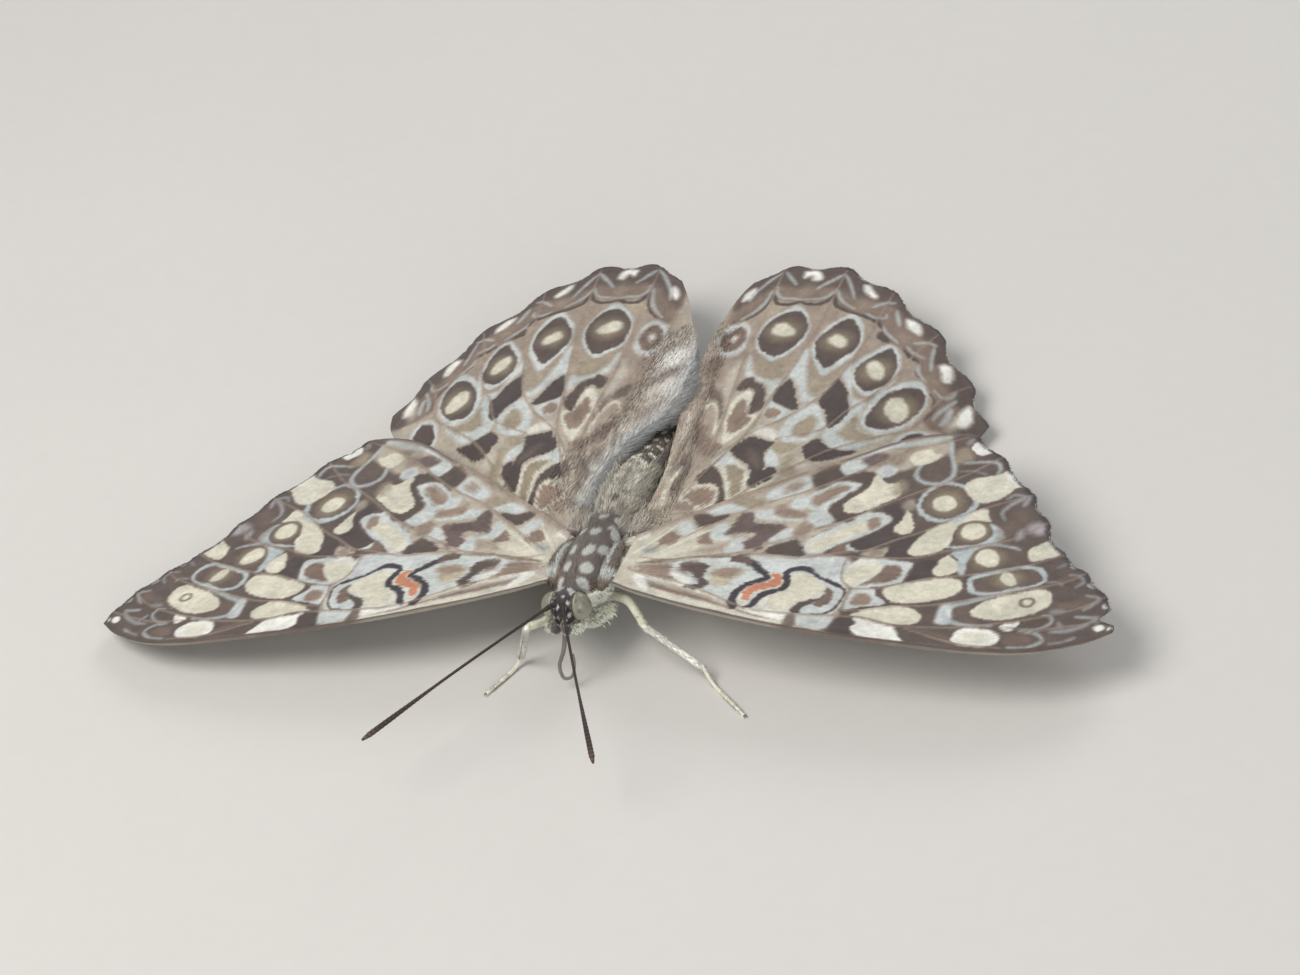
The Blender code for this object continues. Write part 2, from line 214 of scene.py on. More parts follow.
def soft_noise(x, y, seed):
    """Smooth noise, one bump per unit, about -1 to 1."""
    xi, yi = np.floor(x).astype(np.int64), np.floor(y).astype(np.int64)
    fx, fy = x - xi, y - yi
    fx, fy = fx * fx * (3 - 2 * fx), fy * fy * (3 - 2 * fy)

    def h(a, b):
        k = (a * 374761393 + b * 668265263 + seed * 982451653) & 0x7fffffff
        k = ((k ^ (k >> 13)) * 1274126177) & 0x7fffffff
        return ((k ^ (k >> 16)) & 0xffff) / 32767.5 - 1.0
    return ((h(xi, yi) * (1 - fx) + h(xi + 1, yi) * fx) * (1 - fy)
            + (h(xi, yi + 1) * (1 - fx) + h(xi + 1, yi + 1) * fx) * fy)


class Plate:
    """Paints named inks on the points of one wing."""

    def __init__(self, X, Y, base, seed, root):
        self.X, self.Y = X, Y
        self.rgb = np.tile(np.array(INK[base], float), (len(X), 1))
        ang, rad = np.arctan2(Y - root[1], X - root[0]), np.hypot(X - root[0], Y - root[1])
        # scales lie in rows along the veins: edges are combed in that direction
        comb = soft_noise(ang * 95, rad * 1.6, seed) * 0.6 + soft_noise(ang * 45, rad * 0.8, seed + 1) * 0.4
        self.rag = (0.085 * comb + 0.05 * soft_noise(X * 5.5, Y * 5.5, seed + 2)) * np.interp(rad, [6, 16, 26], [1.9, 1.5, 1.0])
        self.comb = comb
        self.slow = soft_noise(X * 0.9, Y * 0.9, seed + 3)

    def near(self, pts, pad):
        lo, hi = pts.min(0) - pad, pts.max(0) + pad
        return np.flatnonzero((self.X > lo[0]) & (self.X < hi[0]) & (self.Y > lo[1]) & (self.Y < hi[1]))

    def lay(self, idx, cover, ink, fade=1.0):
        c = np.array(INK[ink] if isinstance(ink, str) else ink, float)
        a = (np.clip(cover, 0, 1) * fade)[:, None]
        self.rgb[idx] = self.rgb[idx] * (1 - a) + c * a

    def dist(self, idx, path):
        px, py = self.X[idx][:, None], self.Y[idx][:, None]
        a, b = path[:-1], path[1:]
        dx, dy = b[:, 0] - a[:, 0], b[:, 1] - a[:, 1]
        t = ((px - a[:, 0]) * dx + (py - a[:, 1]) * dy) / np.maximum(dx * dx + dy * dy, 1e-12)
        t = np.clip(t, 0, 1)
        d2 = (px - a[:, 0] - t * dx) ** 2 + (py - a[:, 1] - t * dy) ** 2
        k = d2.argmin(1)
        rows = np.arange(len(idx))
        return np.sqrt(d2[rows, k]), (k + t[rows, k]) / len(a)

    def signed(self, idx, loop):
        ring = np.vstack([loop, loop[:1]])
        d, _ = self.dist(idx, ring)
        px, py = self.X[idx][:, None], self.Y[idx][:, None]
        a, b = ring[:-1], ring[1:]
        cross = (a[:, 1] > py) != (b[:, 1] > py)
        with np.errstate(divide="ignore", invalid="ignore"):
            xs = a[:, 0] + (py - a[:, 1]) * (b[:, 0] - a[:, 0]) / (b[:, 1] - a[:, 1])
        inside = (cross & (px < xs)).sum(1) % 2 == 1
        return np.where(inside, -d, d)

    def fill(self, ink, pts, soft=0.09, rag=1.0, fade=1.0):
        loop = rounded_loop(pts)
        idx = self.near(loop, soft + 0.4)
        if len(idx):
            s = self.signed(idx, loop) + rag * self.rag[idx]
            self.lay(idx, 0.5 - s / (2 * soft), ink, fade)

    def oval(self, ink, cx, cy, rx, ry, tilt=0.0, soft=0.09, rag=1.0, fade=1.0, hole=None):
        r = max(rx, ry) + soft + 0.4
        idx = self.near(np.array([[cx - r, cy - r], [cx + r, cy + r]]), 0)
        if len(idx):
            c, s = math.cos(math.radians(tilt)), math.sin(math.radians(tilt))
            u, v = self.X[idx] - cx, self.Y[idx] - cy
            u, v = (u * c + v * s) / rx, (-u * s + v * c) / ry
            q = np.hypot(u, v)
            d = (q - 1) * min(rx, ry) + rag * self.rag[idx]
            cover = 0.5 - d / (2 * soft)
            if hole:
                cover = np.minimum(cover, 0.5 + ((q - hole) * min(rx, ry) + rag * self.rag[idx]) / (2 * soft))
            self.lay(idx, cover, ink, fade)

    def stroke(self, ink, pts, width, soft=0.08, rag=0.6, fade=1.0, thin=0.55):
        if ink in ("mist", "slate"):
            width, soft, fade = width * 0.84, soft + 0.05, fade * 0.86
        path = rounded_loop(pts, closed=False)
        idx = self.near(path, width + soft + 0.3)
        if len(idx):
            d, t = self.dist(idx, path)
            w = width * (thin + (1 - thin) * np.sin(np.pi * np.clip(t, 0.0, 1.0)) ** 0.6)
            self.lay(idx, 0.5 - (d - w / 2 + rag * self.rag[idx]) / (2 * soft), ink, fade)


FORE_VEINS = {
    "R": [(4.2, -3.6), (7, -4.35), (10, -5.5), (13, -6.85), (16, -7.2), (19, -7.1), (21.4, -7.15), (24, -7.65), (28, -7.3), (31, -6.45), (33.4, -5.5), (35.4, -4.4), (37.1, -2.8)],
    "R4": [(24.6, -7.9), (28, -8.9), (31.5, -9.05)],
    "R3": [(31, -7.0), (33.6, -6.8), (36, -5.9), (38, -5.0)],
    "M1": [(19.6, -6.4), (21.2, -6.35), (23.2, -5.7), (25.4, -5.4), (27.3, -4.75), (30, -3.65), (32.6, -2.5), (34.2, -1.7), (35.2, -0.6)],
    "M2": [(19.7, -4.3), (21.6, -4.0), (23.3, -3.2), (25.3, -2.4), (27.2, -2.0), (29.3, -1.15), (31.6, -0.15), (33.4, 1.1)],
    "M3": [(18.6, -0.9), (21.0, -0.85), (23.0, -0.6), (25.1, 0.35), (26.8, 1.0), (28.6, 1.75), (30.0, 2.7), (31.4, 4.3)],
    "Cu1": [(16.5, -1.0), (18.0, -0.5), (19.6, -0.1), (21.3, 1.1), (22.6, 1.95), (24.0, 3.1), (25.6, 4.5), (27.4, 5.7), (29.6, 7.1)],
    "Cu2": [(10.5, -1.1), (13.0, 0.3), (15.6, 1.75), (17.9, 3.4), (20.0, 5.3), (22.0, 6.9), (23.8, 8.1), (25.2, 9.6), (26.5, 11.0)],
    "A2": [(4.0, -1.2), (6.0, 0.3), (8.6, 2.6), (11.2, 4.6), (13.4, 5.9), (15.6, 7.5), (18.3, 9.8), (21.0, 11.7), (23.6, 13.0)],
    "Cu": [(3.7, -1.9), (5.2, -2.05), (7, -1.85), (9, -1.35), (11, -1.1), (13, -1.1), (15, -1.3), (16.6, -1.0), (18.6, -0.9)],
    "end": [(19.25, -7.1), (19.65, -6.3), (19.65, -5.2), (19.7, -4.3), (18.9, -3.4), (18.6, -2.2), (18.6, -0.9)],
}
HIND_VEINS = {
    "a": [(3.4, 6.0), (4.6, 9.5), (4.6, 13.5), (4.2, 18.0), (3.8, 22.0), (3.7, 27.0), (3.4, 33.6)],
    "b": [(4.4, 5.4), (5.6, 9.5), (6.9, 13.6), (7.3, 17.6), (7.9, 22.8), (8.2, 28.5), (8.25, 33.8)],
    "c": [(5.4, 10.0), (7.0, 13.0), (9.0, 15.2), (10.6, 18.0), (11.5, 21.5), (11.95, 25.0), (12.2, 28.2), (12.4, 31.8)],
    "d": [(9.1, 12.7), (11.9, 14.6), (13.1, 17.4), (14.4, 19.9), (15.2, 22.3), (15.7, 25.0), (16.7, 28.2)],
    "e": [(8.9, 6.9), (11.3, 10.2), (13.2, 12.6), (15.6, 14.9), (17.4, 16.6), (18.2, 18.8), (18.8, 21.2), (20.2, 23.5)],
    "f": [(4.0, 3.4), (7.0, 4.6), (8.9, 6.9)],
    "g": [(2.4, 9.0), (2.6, 13.0), (2.2, 18.0), (1.2, 24.0), (0.9, 28.0)],
}


def grow(pts, k):
    """The same loop, larger or smaller about its middle."""
    q = np.array(pts, float)
    return q.mean(0) + (q - q.mean(0)) * k


def paint_fore(p):
    F, O, S = p.fill, p.oval, p.stroke
    # ground tones
    F("stone", [(2, -5), (8, -2), (15, -1), (15.5, 3), (14, 8), (9, 6), (4, 3), (2, 1)], soft=0.6, rag=0)
    F("ice", [(4, -3.8), (8, -4.9), (12, -6.5), (16, -7.2), (19, -7.1), (19.6, -5), (18.7, -1), (14, -1.2), (9, -1.5), (6.3, -2.1)], soft=0.2)
    F("dark", [(19.2, -9.1), (26, -9.6), (32, -9.5), (36, -8.2), (38.6, -6), (37, -2.6), (33.6, 1.2), (31.6, 4.5), (29.9, 7.3),
               (26.8, 11.2), (24.2, 13.6), (22.4, 13), (22.6, 11), (20, 9), (18, 8.4), (15, 9.2), (13.6, 8), (14, 6.6), (16, 4), (15, 1),
               (12.7, -0.8), (18.6, -1), (19.9, -4), (19.6, -7)], soft=0.25, fade=0.93)
    # costal strip
    F("rose", [(2.6, -4.6), (5, -5.8), (8, -6.7), (11, -7.4), (14, -8.1), (16.2, -8.35), (16.2, -7.6), (13, -6.9), (10, -5.9), (7, -4.9), (5, -4.3), (3.4, -3.8)], soft=0.12)
    F("pearl", [(3.4, -5.0), (5.2, -5.75), (8, -6.55), (11, -7.25), (14, -7.95), (16.0, -8.2), (16.0, -7.85), (13, -7.4), (10, -6.55), (7, -5.6), (5, -5.1)], soft=0.12)
    S("umber", [(4.6, -4.65), (8, -5.55), (11, -6.55), (14, -7.5), (16.1, -7.8)], 0.24, fade=0.6)
    S("pearl", [(3.7, -3.75), (5.2, -3.85), (7.4, -4.55), (9.6, -5.35), (12, -6.3), (13.6, -6.9)], 0.36)
    F("white", [(12.6, -6.95), (14.2, -7.5), (16.0, -7.85), (16.05, -7.3), (14.8, -7.1), (13.2, -6.75)])
    F("white", [(3.7, -3.5), (4.1, -4.3), (4.7, -4.3), (4.9, -3.7), (4.3, -3.5)], fade=0.8)
    F("umber", [(4.6, -3.5), (6.2, -3.8), (7.2, -4.2), (6.5, -3.2), (5.9, -2.3), (4.6, -2.2), (4.1, -2.8)], soft=0.3, fade=0.6)
    F("deep", [(16.05, -8.5), (16.9, -8.6), (16.8, -7.25), (16.1, -7.2)], soft=0.15, fade=0.85)
    F("ice", [(17.0, -8.1), (17.6, -8.4), (18.7, -8.55), (19.3, -8.2), (19.35, -7.1), (17.9, -7.25), (16.9, -7.35)], soft=0.15)
    S("slate", [(17.4, -8.3), (18.4, -7.6)], 0.2, fade=0.5)
    F("soot", [(19.4, -8.9), (20.9, -9.1), (20.95, -8.4), (20.9, -7.6), (20.6, -7.1), (19.6, -7.2)], soft=0.18)
    F("white", [(20.95, -8.5), (21.6, -9.0), (23, -9.3), (24.7, -9.4), (24.4, -8.7), (24.0, -8.1), (23.7, -7.78), (22.3, -7.5), (20.8, -7.15), (21.05, -7.7), (20.85, -8.1)])
    S("slate", [(24.7, -9.3), (27, -9.35), (29.6, -9.4), (31.2, -9.2)], 0.22, fade=0.8)
    F("umber", [(24.6, -7.9), (26.5, -8.3), (28, -8.9), (27.9, -8.6), (26.6, -7.9), (25.6, -7.7)], soft=0.15, fade=0.8)
    F("white", [(28.0, -8.7), (28.8, -9.05), (30.3, -9.05), (31.0, -8.5), (31.05, -7.9), (30.4, -7.3), (29.4, -7.15), (28.3, -7.4), (27.95, -8.0)])
    O("cream", 29.4, -8.15, 1.05, 0.6, soft=0.2, fade=0.7)
    S("mist", [(31.9, -8.85), (33.1, -8.6), (33.95, -7.85), (33.4, -7.2), (32.3, -7.15)], 0.32)
    F("umber", [(31.6, -8.5), (32.9, -8.35), (33.3, -7.8), (32.7, -7.5), (31.5, -7.6)], soft=0.15, fade=0.7)
    F("white", [(30.8, -6.9), (31.4, -7.2), (31.85, -6.95), (32.0, -6.1), (31.3, -6.25)], soft=0.07)
    S("mist", [(32.5, -6.95), (33.4, -6.75), (34.1, -6.0), (33.9, -5.35), (32.7, -5.3)], 0.26)
    # distal grey flames between the vein ends
    S("slate", [(34.5, -8.1), (35.4, -7.75), (36.0, -7.2)], 0.42)
    S("slate", [(34.3, -6.9), (35.3, -6.6), (36.3, -5.9), (37.0, -5.1)], 0.42)
    S("mist", [(35.6, -5.1), (36.4, -5.0), (37.0, -4.9)], 0.35)
    S("slate", [(34.6, -5.9), (35.0, -6.5)], 0.4)
    S("mist", [(35.9, -4.3), (36.4, -3.7), (36.7, -3.0), (35.8, -2.85)], 0.3)
    S("umber", [(34.4, -4.2), (35.6, -3.8), (36.1, -3.2)], 0.8, soft=0.3, fade=0.7)
    S("slate", [(33.9, -4.9), (34.6, -4.7)], 0.5, soft=0.2)
    S("slate", [(34.9, -2.1), (35.3, -1.4), (34.8, -0.9), (34.2, -0.9)], 0.3)
    S("slate", [(32.9, -1.9), (33.6, -1.8), (33.9, -2.1)], 0.3)
    S("umber", [(33.7, -1.7), (34.6, -1.1)], 0.5, soft=0.3, fade=0.6)
    S("slate", [(33.2, -0.3), (33.7, 0.3), (33.5, 0.9)], 0.3, fade=0.8)
    # margin spots
    for cx, cy, rx, ry, tl in ((37.35, -5.95, 0.42, 0.34, 40), (38.15, -5.95, 0.28, 0.45, 0), (37.3, -3.65, 0.26, 0.3, 0), (37.7, -3.35, 0.14, 0.18, 30),
                               (36.0, -1.75, 0.42, 0.3, -20), (36.7, -1.55, 0.1, 0.42, 40), (34.3, 0.15, 0.36, 0.38, 0), (35.0, 0.3, 0.08, 0.5, 45),
                               (30.55, 5.75, 0.25, 0.32, 30)):
        O("white", cx, cy, rx, ry, tl, soft=0.07, rag=0.6)
    # marks in the cell
    F("dark", [(8.3, -4.95), (8.9, -5.15), (9.4, -4.7), (9.5, -4.25), (9.1, -3.8), (8.9, -3.3), (9.05, -2.9), (8.8, -2.35), (8.0, -2.05), (7.0, -2.15),
               (6.85, -2.6), (7.2, -3.1), (7.8, -3.25), (8.2, -3.7), (8.65, -4.2), (8.4, -4.55), (7.9, -4.75)], soft=0.13)
    O("umber", 7.3, -3.2, 0.6, 0.35, -25, soft=0.25, fade=0.7)
    F("white", [(6.6, -4.0), (7.6, -4.5), (8.2, -4.3), (7.8, -3.8), (7.1, -3.4), (6.5, -3.1), (6.2, -3.5)], soft=0.2, fade=0.7)
    F("sand", [(9.2, -3.3), (9.8, -4.4), (10.8, -4.6), (11.3, -3.6), (11.8, -3.0), (11, -2.65), (10, -2.65), (9.4, -2.85)], soft=0.25, fade=0.9)
    F("taupe", [(9.5, -3.2), (10.6, -3.7), (11.6, -3.2), (11, -2.7), (10, -2.7)], soft=0.25, fade=0.85)
    S("black", [(12.1, -6.7), (11.75, -6.0), (11.8, -5.2), (12.2, -4.55), (12.9, -4.05), (13.55, -3.6), (13.3, -3.1)], 0.66, thin=0.85)
    S("black", [(13.4, -3.2), (12.7, -2.6), (12.1, -2.1), (11.4, -1.7), (10.5, -1.55)], 0.6, thin=0.6, soft=0.12)
    F("deep", [(10.4, -1.8), (11.3, -2.1), (12.0, -2.3), (11.8, -1.5), (10.9, -1.2)], soft=0.15)
    F("pearl", [(12.3, -6.4), (13.0, -6.3), (13.1, -5.5), (13.4, -5.0), (14.2, -4.75), (14.75, -4.4), (14.85, -3.8), (14.55, -3.0), (13.85, -2.75), (13.5, -3.1), (13.8, -3.5), (13.4, -3.9), (12.8, -4.2), (12.25, -4.7), (12.05, -5.4)], soft=0.08, fade=0.8)
    F("brick", [(12.45, -5.9), (12.85, -5.9), (12.9, -5.4), (13.2, -4.9), (13.9, -4.6), (14.45, -4.35), (14.65, -3.8), (14.4, -3.1), (13.9, -2.95), (13.7, -3.15), (14.0, -3.55), (13.7, -3.9), (13.0, -4.2), (12.4, -4.7), (12.25, -5.3)], soft=0.09)
    S("black", [(12.95, -6.75), (13.3, -6.4), (13.5, -5.7), (14.0, -5.05), (14.7, -4.75), (15.05, -4.35), (15.1, -3.8), (14.9, -3.3), (14.75, -2.8)], 0.56, thin=0.8)
    S("black", [(14.6, -2.9), (15.0, -2.5), (15.7, -2.35), (16.5, -2.5), (17.2, -3.0), (18.2, -3.6), (19.0, -4.05)], 0.56, thin=0.4)
    F("cream", [(13.75, -6.5), (14.3, -6.9), (15.2, -7.0), (16.0, -6.8), (16.2, -6.2), (16.8, -5.7), (17.5, -5.4), (18.0, -4.8), (18.05, -4.3), (17.6, -3.75), (16.9, -3.3),
                (16.1, -2.8), (15.55, -2.8), (15.25, -3.2), (15.4, -4.0), (15.25, -4.6), (14.6, -5.0), (14.0, -5.6), (13.8, -6.1)])
    F("white", [(13.8, -6.4), (14.3, -6.85), (14.9, -6.9), (14.3, -6.3), (14.2, -5.6), (13.9, -5.8)], soft=0.2, fade=0.6)
    F("dark", [(16.25, -7.05), (16.9, -7.1), (16.9, -6.5), (17.5, -5.95), (18.1, -5.6), (18.2, -5.0), (17.7, -5.35), (17.0, -5.65), (16.4, -6.1)], soft=0.1)
    F("umber", [(17.6, -6.0), (18.2, -6.3), (18.65, -5.7), (18.7, -4.9), (18.4, -4.3), (18.05, -4.25), (18.15, -5.0), (17.8, -5.5)], soft=0.12)
    F("ice", [(16.95, -6.85), (17.7, -7.0), (17.95, -6.5), (17.5, -6.1), (17.1, -6.3)])
    S("ice", [(17.3, -6.9), (18.2, -6.7), (18.8, -6.1), (19.05, -5.3), (18.95, -4.6), (18.2, -4.05), (17.5, -3.7)], 0.34)
    S("dark", [(17.7, -7.05), (18.6, -6.9), (19.2, -6.2), (19.4, -5.3), (19.45, -4.6), (19.2, -4.15)], 0.2)
    F("ice", [(17.0, -2.9), (18.0, -3.4), (18.5, -3.6), (18.6, -2.6), (18.55, -1.1), (17.8, -1.05), (16.9, -1.4), (16.2, -1.8)], soft=0.12)
    F("violet", [(17.6, -2.2), (18.3, -2.9), (18.4, -1.5), (17.7, -1.3)], soft=0.3, fade=0.5)
    # first row of patches outside the cell
    F("ice", [(19.85, -6.4), (20.8, -6.0), (22.2, -5.7), (22.4, -5.25), (21.6, -4.6), (21.2, -4.05), (19.9, -4.3), (19.75, -5.2)])
    F("taupe", [(20.2, -5.7), (21.1, -5.8), (21.5, -5.2), (21.0, -4.6), (20.3, -4.75), (20.1, -5.2)], soft=0.15)
    F("cream", [(20.5, -6.9), (21.5, -7.2), (23, -7.5), (24.6, -7.45), (25.2, -7.1), (25.3, -6.5), (24.8, -5.9), (23.8, -5.65), (22.4, -5.9), (21.3, -6.3)])
    F("ice", [(26.4, -7.0), (27.2, -7.0), (27.4, -6.0), (27.0, -5.0), (26.4, -5.2), (26.3, -6.2)], soft=0.15)
    F("cream", [(22.1, -4.5), (22.6, -5.0), (23.4, -5.3), (24.8, -5.1), (26.2, -4.6), (27.0, -4.0), (27.35, -3.2), (27.0, -2.5), (26.3, -2.3), (25.2, -2.5), (24.0, -2.9), (22.8, -3.4), (22.1, -3.9)])
    F("ice", [(19.9, -4.1), (21.4, -3.85), (22.9, -3.3), (23.15, -2.6), (23.3, -1.1), (22, -1.0), (20.5, -0.95), (19.5, -1.1), (19.2, -2.4)], soft=0.1)
    F("umber", [(20.3, -3.7), (21.8, -3.35), (22.6, -2.8), (22.8, -2.0), (22.4, -1.5), (21.5, -1.5), (21.2, -2.2), (20.8, -3.0)], soft=0.15)
    F("cream", [(18.8, -3.3), (19.3, -3.9), (19.9, -3.9), (20.6, -3.2), (21.2, -2.4), (21.3, -1.8), (20.9, -1.3), (20.0, -1.05), (19.3, -1.2), (18.9, -1.9)])
    F("white", [(19.0, -1.9), (19.6, -1.7), (20.8, -1.5), (20.4, -1.05), (19.4, -1.1)], soft=0.2, fade=0.7)
    F("cream", [(24.8, -1.9), (25.3, -2.2), (26.0, -2.1), (26.5, -1.6), (26.5, -0.9), (26.0, -0.3), (25.5, 0.05), (25.1, -0.4), (24.8, -1.2)])
    F("mist", [(26.6, -1.8), (27.1, -2.0), (27.0, -1.0), (26.9, 0.0), (27.4, 0.9), (27.0, 1.0), (26.0, 0.5), (25.7, 0.2), (26.3, -0.5)], soft=0.12)
    # postmedian eyespots, from the costa back
    S("mist", [(30.2, -6.8), (28.4, -6.95), (27.2, -6.6), (26.75, -5.9), (26.9, -5.3), (27.9, -4.8), (29.0, -4.2), (30.6, -3.3)], 0.5, thin=0.7)
    S("deep", [(27.4, -5.6), (28.0, -6.35), (29.6, -6.6), (31.2, -6.3), (32.8, -5.5), (33.8, -4.5)], 0.36)
    F("deep", [(27.3, -5.9), (28.3, -6.4), (28.9, -6.0), (28.6, -5.2), (27.7, -5.1)], soft=0.2)
    F("cream", [(28.5, -5.7), (29.0, -6.1), (30.2, -6.25), (31.6, -5.85), (32.8, -5.1), (33.5, -4.4), (33.65, -3.5), (33.3, -2.8), (32.6, -2.7), (31.5, -3.2), (30.2, -3.8), (29.2, -4.5), (28.7, -5.1)])
    O("deep", 32.05, -4.15, 0.55, 0.5, soft=0.08, rag=0.8, hole=0.62, fade=0.85)
    F("mist", [(27.5, -2.8), (27.9, -3.6), (29.0, -3.9), (30.2, -3.5), (31.4, -2.95), (32.5, -2.2), (32.75, -1.4), (32.2, -0.5), (31.2, -0.35), (30.0, -0.8), (28.6, -1.5), (27.7, -2.0)])
    F("deep", [(28.0, -3.0), (28.5, -3.45), (29.6, -3.45), (30.6, -2.85), (31.8, -2.4), (32.35, -1.9), (32.35, -1.3), (31.7, -0.75), (30.9, -0.75), (29.8, -1.25), (28.7, -1.7), (28.0, -2.3)])
    O("halo", 30.2, -2.0, 0.95, 0.85, soft=0.4, rag=0, fade=0.75)
    F("cream", [(29.6, -1.8), (29.9, -2.35), (30.5, -2.65), (30.85, -2.35), (30.5, -1.6), (30.1, -1.25), (29.65, -1.35)], soft=0.08, rag=0.7)
    S("mist", [(27.0, -1.4), (26.9, -0.3), (27.3, 0.8), (28.2, 1.5), (29.6, 1.45), (30.2, 1.2)], 0.36)
    F("deep", [(27.0, -0.5), (27.2, -1.25), (28.0, -1.4), (29.4, -0.95), (30.6, -0.35), (31.0, 0.2), (30.5, 0.95), (29.4, 1.0), (28.6, 1.2), (27.8, 1.2), (27.2, 0.6)])
    O("halo", 28.3, 0.05, 1.1, 1.05, soft=0.35, rag=0, fade=0.7)
    F("cream", [(27.35, 0.1), (27.7, -0.5), (28.4, -0.85), (29.0, -0.7), (29.1, -0.2), (28.8, 0.6), (28.2, 1.05), (27.6, 0.8)], soft=0.08, rag=0.7)
    F("cream", [(30.8, 0.9), (31.1, 0.2), (31.6, 0.15), (32.4, 0.6), (33.3, 1.2), (33.6, 1.6), (33.1, 2.1), (32.8, 2.9), (32.3, 3.2), (32.0, 2.6), (31.4, 1.9), (30.9, 1.4)])
    F("white", [(32.6, 1.6), (33.5, 1.5), (33.2, 2.3), (32.7, 3.0), (32.3, 3.1), (32.3, 2.2)], soft=0.25)
    F("mist", [(25.0, 0.9), (26.2, 0.8), (27.8, 1.4), (28.8, 2.2), (28.6, 3.0), (27.9, 3.6), (27.4, 3.6), (27.9, 2.6), (27.2, 1.5), (26.2, 1.2)], soft=0.12)
    F("cream", [(22.5, -0.1), (23.2, -0.25), (24.2, -0.1), (24.8, 0.4), (25.3, 1.4), (25.2, 2.3), (25.6, 3.2), (26.3, 3.8), (27.5, 3.9), (27.3, 4.6), (26.9, 5.2), (26.2, 5.0), (25.0, 3.9), (23.8, 2.9), (23.0, 1.9), (22.7, 0.9)])
    O("deep", 26.55, 2.6, 1.3, 1.28, soft=0.09, hole=0.7)
    O("halo", 26.55, 2.7, 1.08, 1.08, soft=0.25, rag=0, fade=0.7)
    O("cream", 26.55, 2.72, 0.86, 0.88, 20, soft=0.09, rag=0.7)
    S("deep", [(28.0, 3.9), (27.5, 4.3), (27.2, 5.0)], 0.4)
    S("slate", [(28.4, 4.2), (28.0, 4.9), (28.3, 5.8), (29.1, 6.8), (28.4, 7.0), (28.0, 6.5)], 0.4)
    F("slate", [(29.7, 2.2), (30.1, 2.6), (29.9, 3.4), (29.5, 3.1)], soft=0.2)
    F("violet", [(30.2, 3.2), (31.2, 2.9), (31.5, 3.5), (31.2, 4.2), (30.5, 4.2), (30.1, 3.8)], soft=0.3, fade=0.8)
    F("umber", [(28.4, 2.0), (29.4, 1.9), (29.4, 3.0), (30.0, 4.4), (29.6, 5.6), (28.8, 4.8), (28.2, 3.6)], soft=0.4, fade=0.5)
    S("violet", [(29.3, 6.0), (29.5, 6.9)], 0.35, soft=0.2, fade=0.8)
    O("mist", 23.95, 5.6, 2.15, 2.3, 25, soft=0.1)
    O("deep", 23.9, 5.7, 1.78, 1.88, 25, soft=0.1)
    O("halo", 23.8, 5.55, 1.2, 1.3, 25, soft=0.45, rag=0, fade=0.75)
    O("cream", 23.75, 5.5, 0.82, 0.92, 35, soft=0.09, rag=0.8)
    F("pearl", [(24.6, 7.6), (25.0, 6.8), (25.8, 6.0), (26.6, 5.9), (27.3, 6.3), (27.9, 7.0), (28.3, 7.7), (28.8, 8.1), (28.6, 8.9), (28.0, 9.5), (27.5, 9.85), (27.0, 9.4), (26.5, 9.0), (25.8, 8.8), (25.0, 8.4)])
    F("cream", [(25.2, 7.5), (26.2, 6.4), (27.4, 7.0), (27.8, 8.0), (26.8, 8.7), (25.8, 8.4)], soft=0.4, fade=0.5)
    F("white", [(28.1, 8.2), (28.8, 8.1), (28.5, 9.0), (27.7, 9.8), (27.1, 9.5), (27.4, 8.9)], soft=0.2)
    S("mist", [(20.9, 9.6), (20.9, 8.4), (21.7, 7.7), (22.9, 7.7), (23.5, 8.6), (23.3, 9.8), (22.8, 11.0), (22.4, 12.4)], 0.5, thin=0.7)
    F("deep", [(21.4, 9.2), (21.6, 8.4), (22.3, 8.1), (23.0, 8.4), (23.0, 9.3), (22.5, 10.4), (22.1, 10.3), (21.6, 9.8)], soft=0.13)
    F("cream", [(19.9, 10.3), (20.5, 9.65), (21.3, 9.8), (21.9, 10.3), (22.1, 10.9), (21.6, 11.0), (21.2, 11.4), (20.7, 11.3), (20.2, 11.0)])
    F("olive", [(23.2, 10.2), (24.3, 10.1), (24.4, 11.0), (23.8, 11.9), (23.1, 11.5)], soft=0.25, fade=0.8)
    S("mist", [(24.1, 10.15), (25.4, 10.4), (26.3, 10.35), (26.65, 9.7), (26.6, 9.3)], 0.38)
    S("slate", [(23.9, 9.1), (24.8, 9.3), (25.8, 9.1)], 0.25, fade=0.7)
    F("white", [(24.0, 11.9), (24.6, 11.2), (25.1, 11.1), (25.6, 11.6), (24.9, 12.3), (24.3, 12.6)])
    F("slate", [(23.5, 12.3), (23.9, 12.2), (24.0, 12.9), (23.6, 12.8)], soft=0.15, fade=0.7)
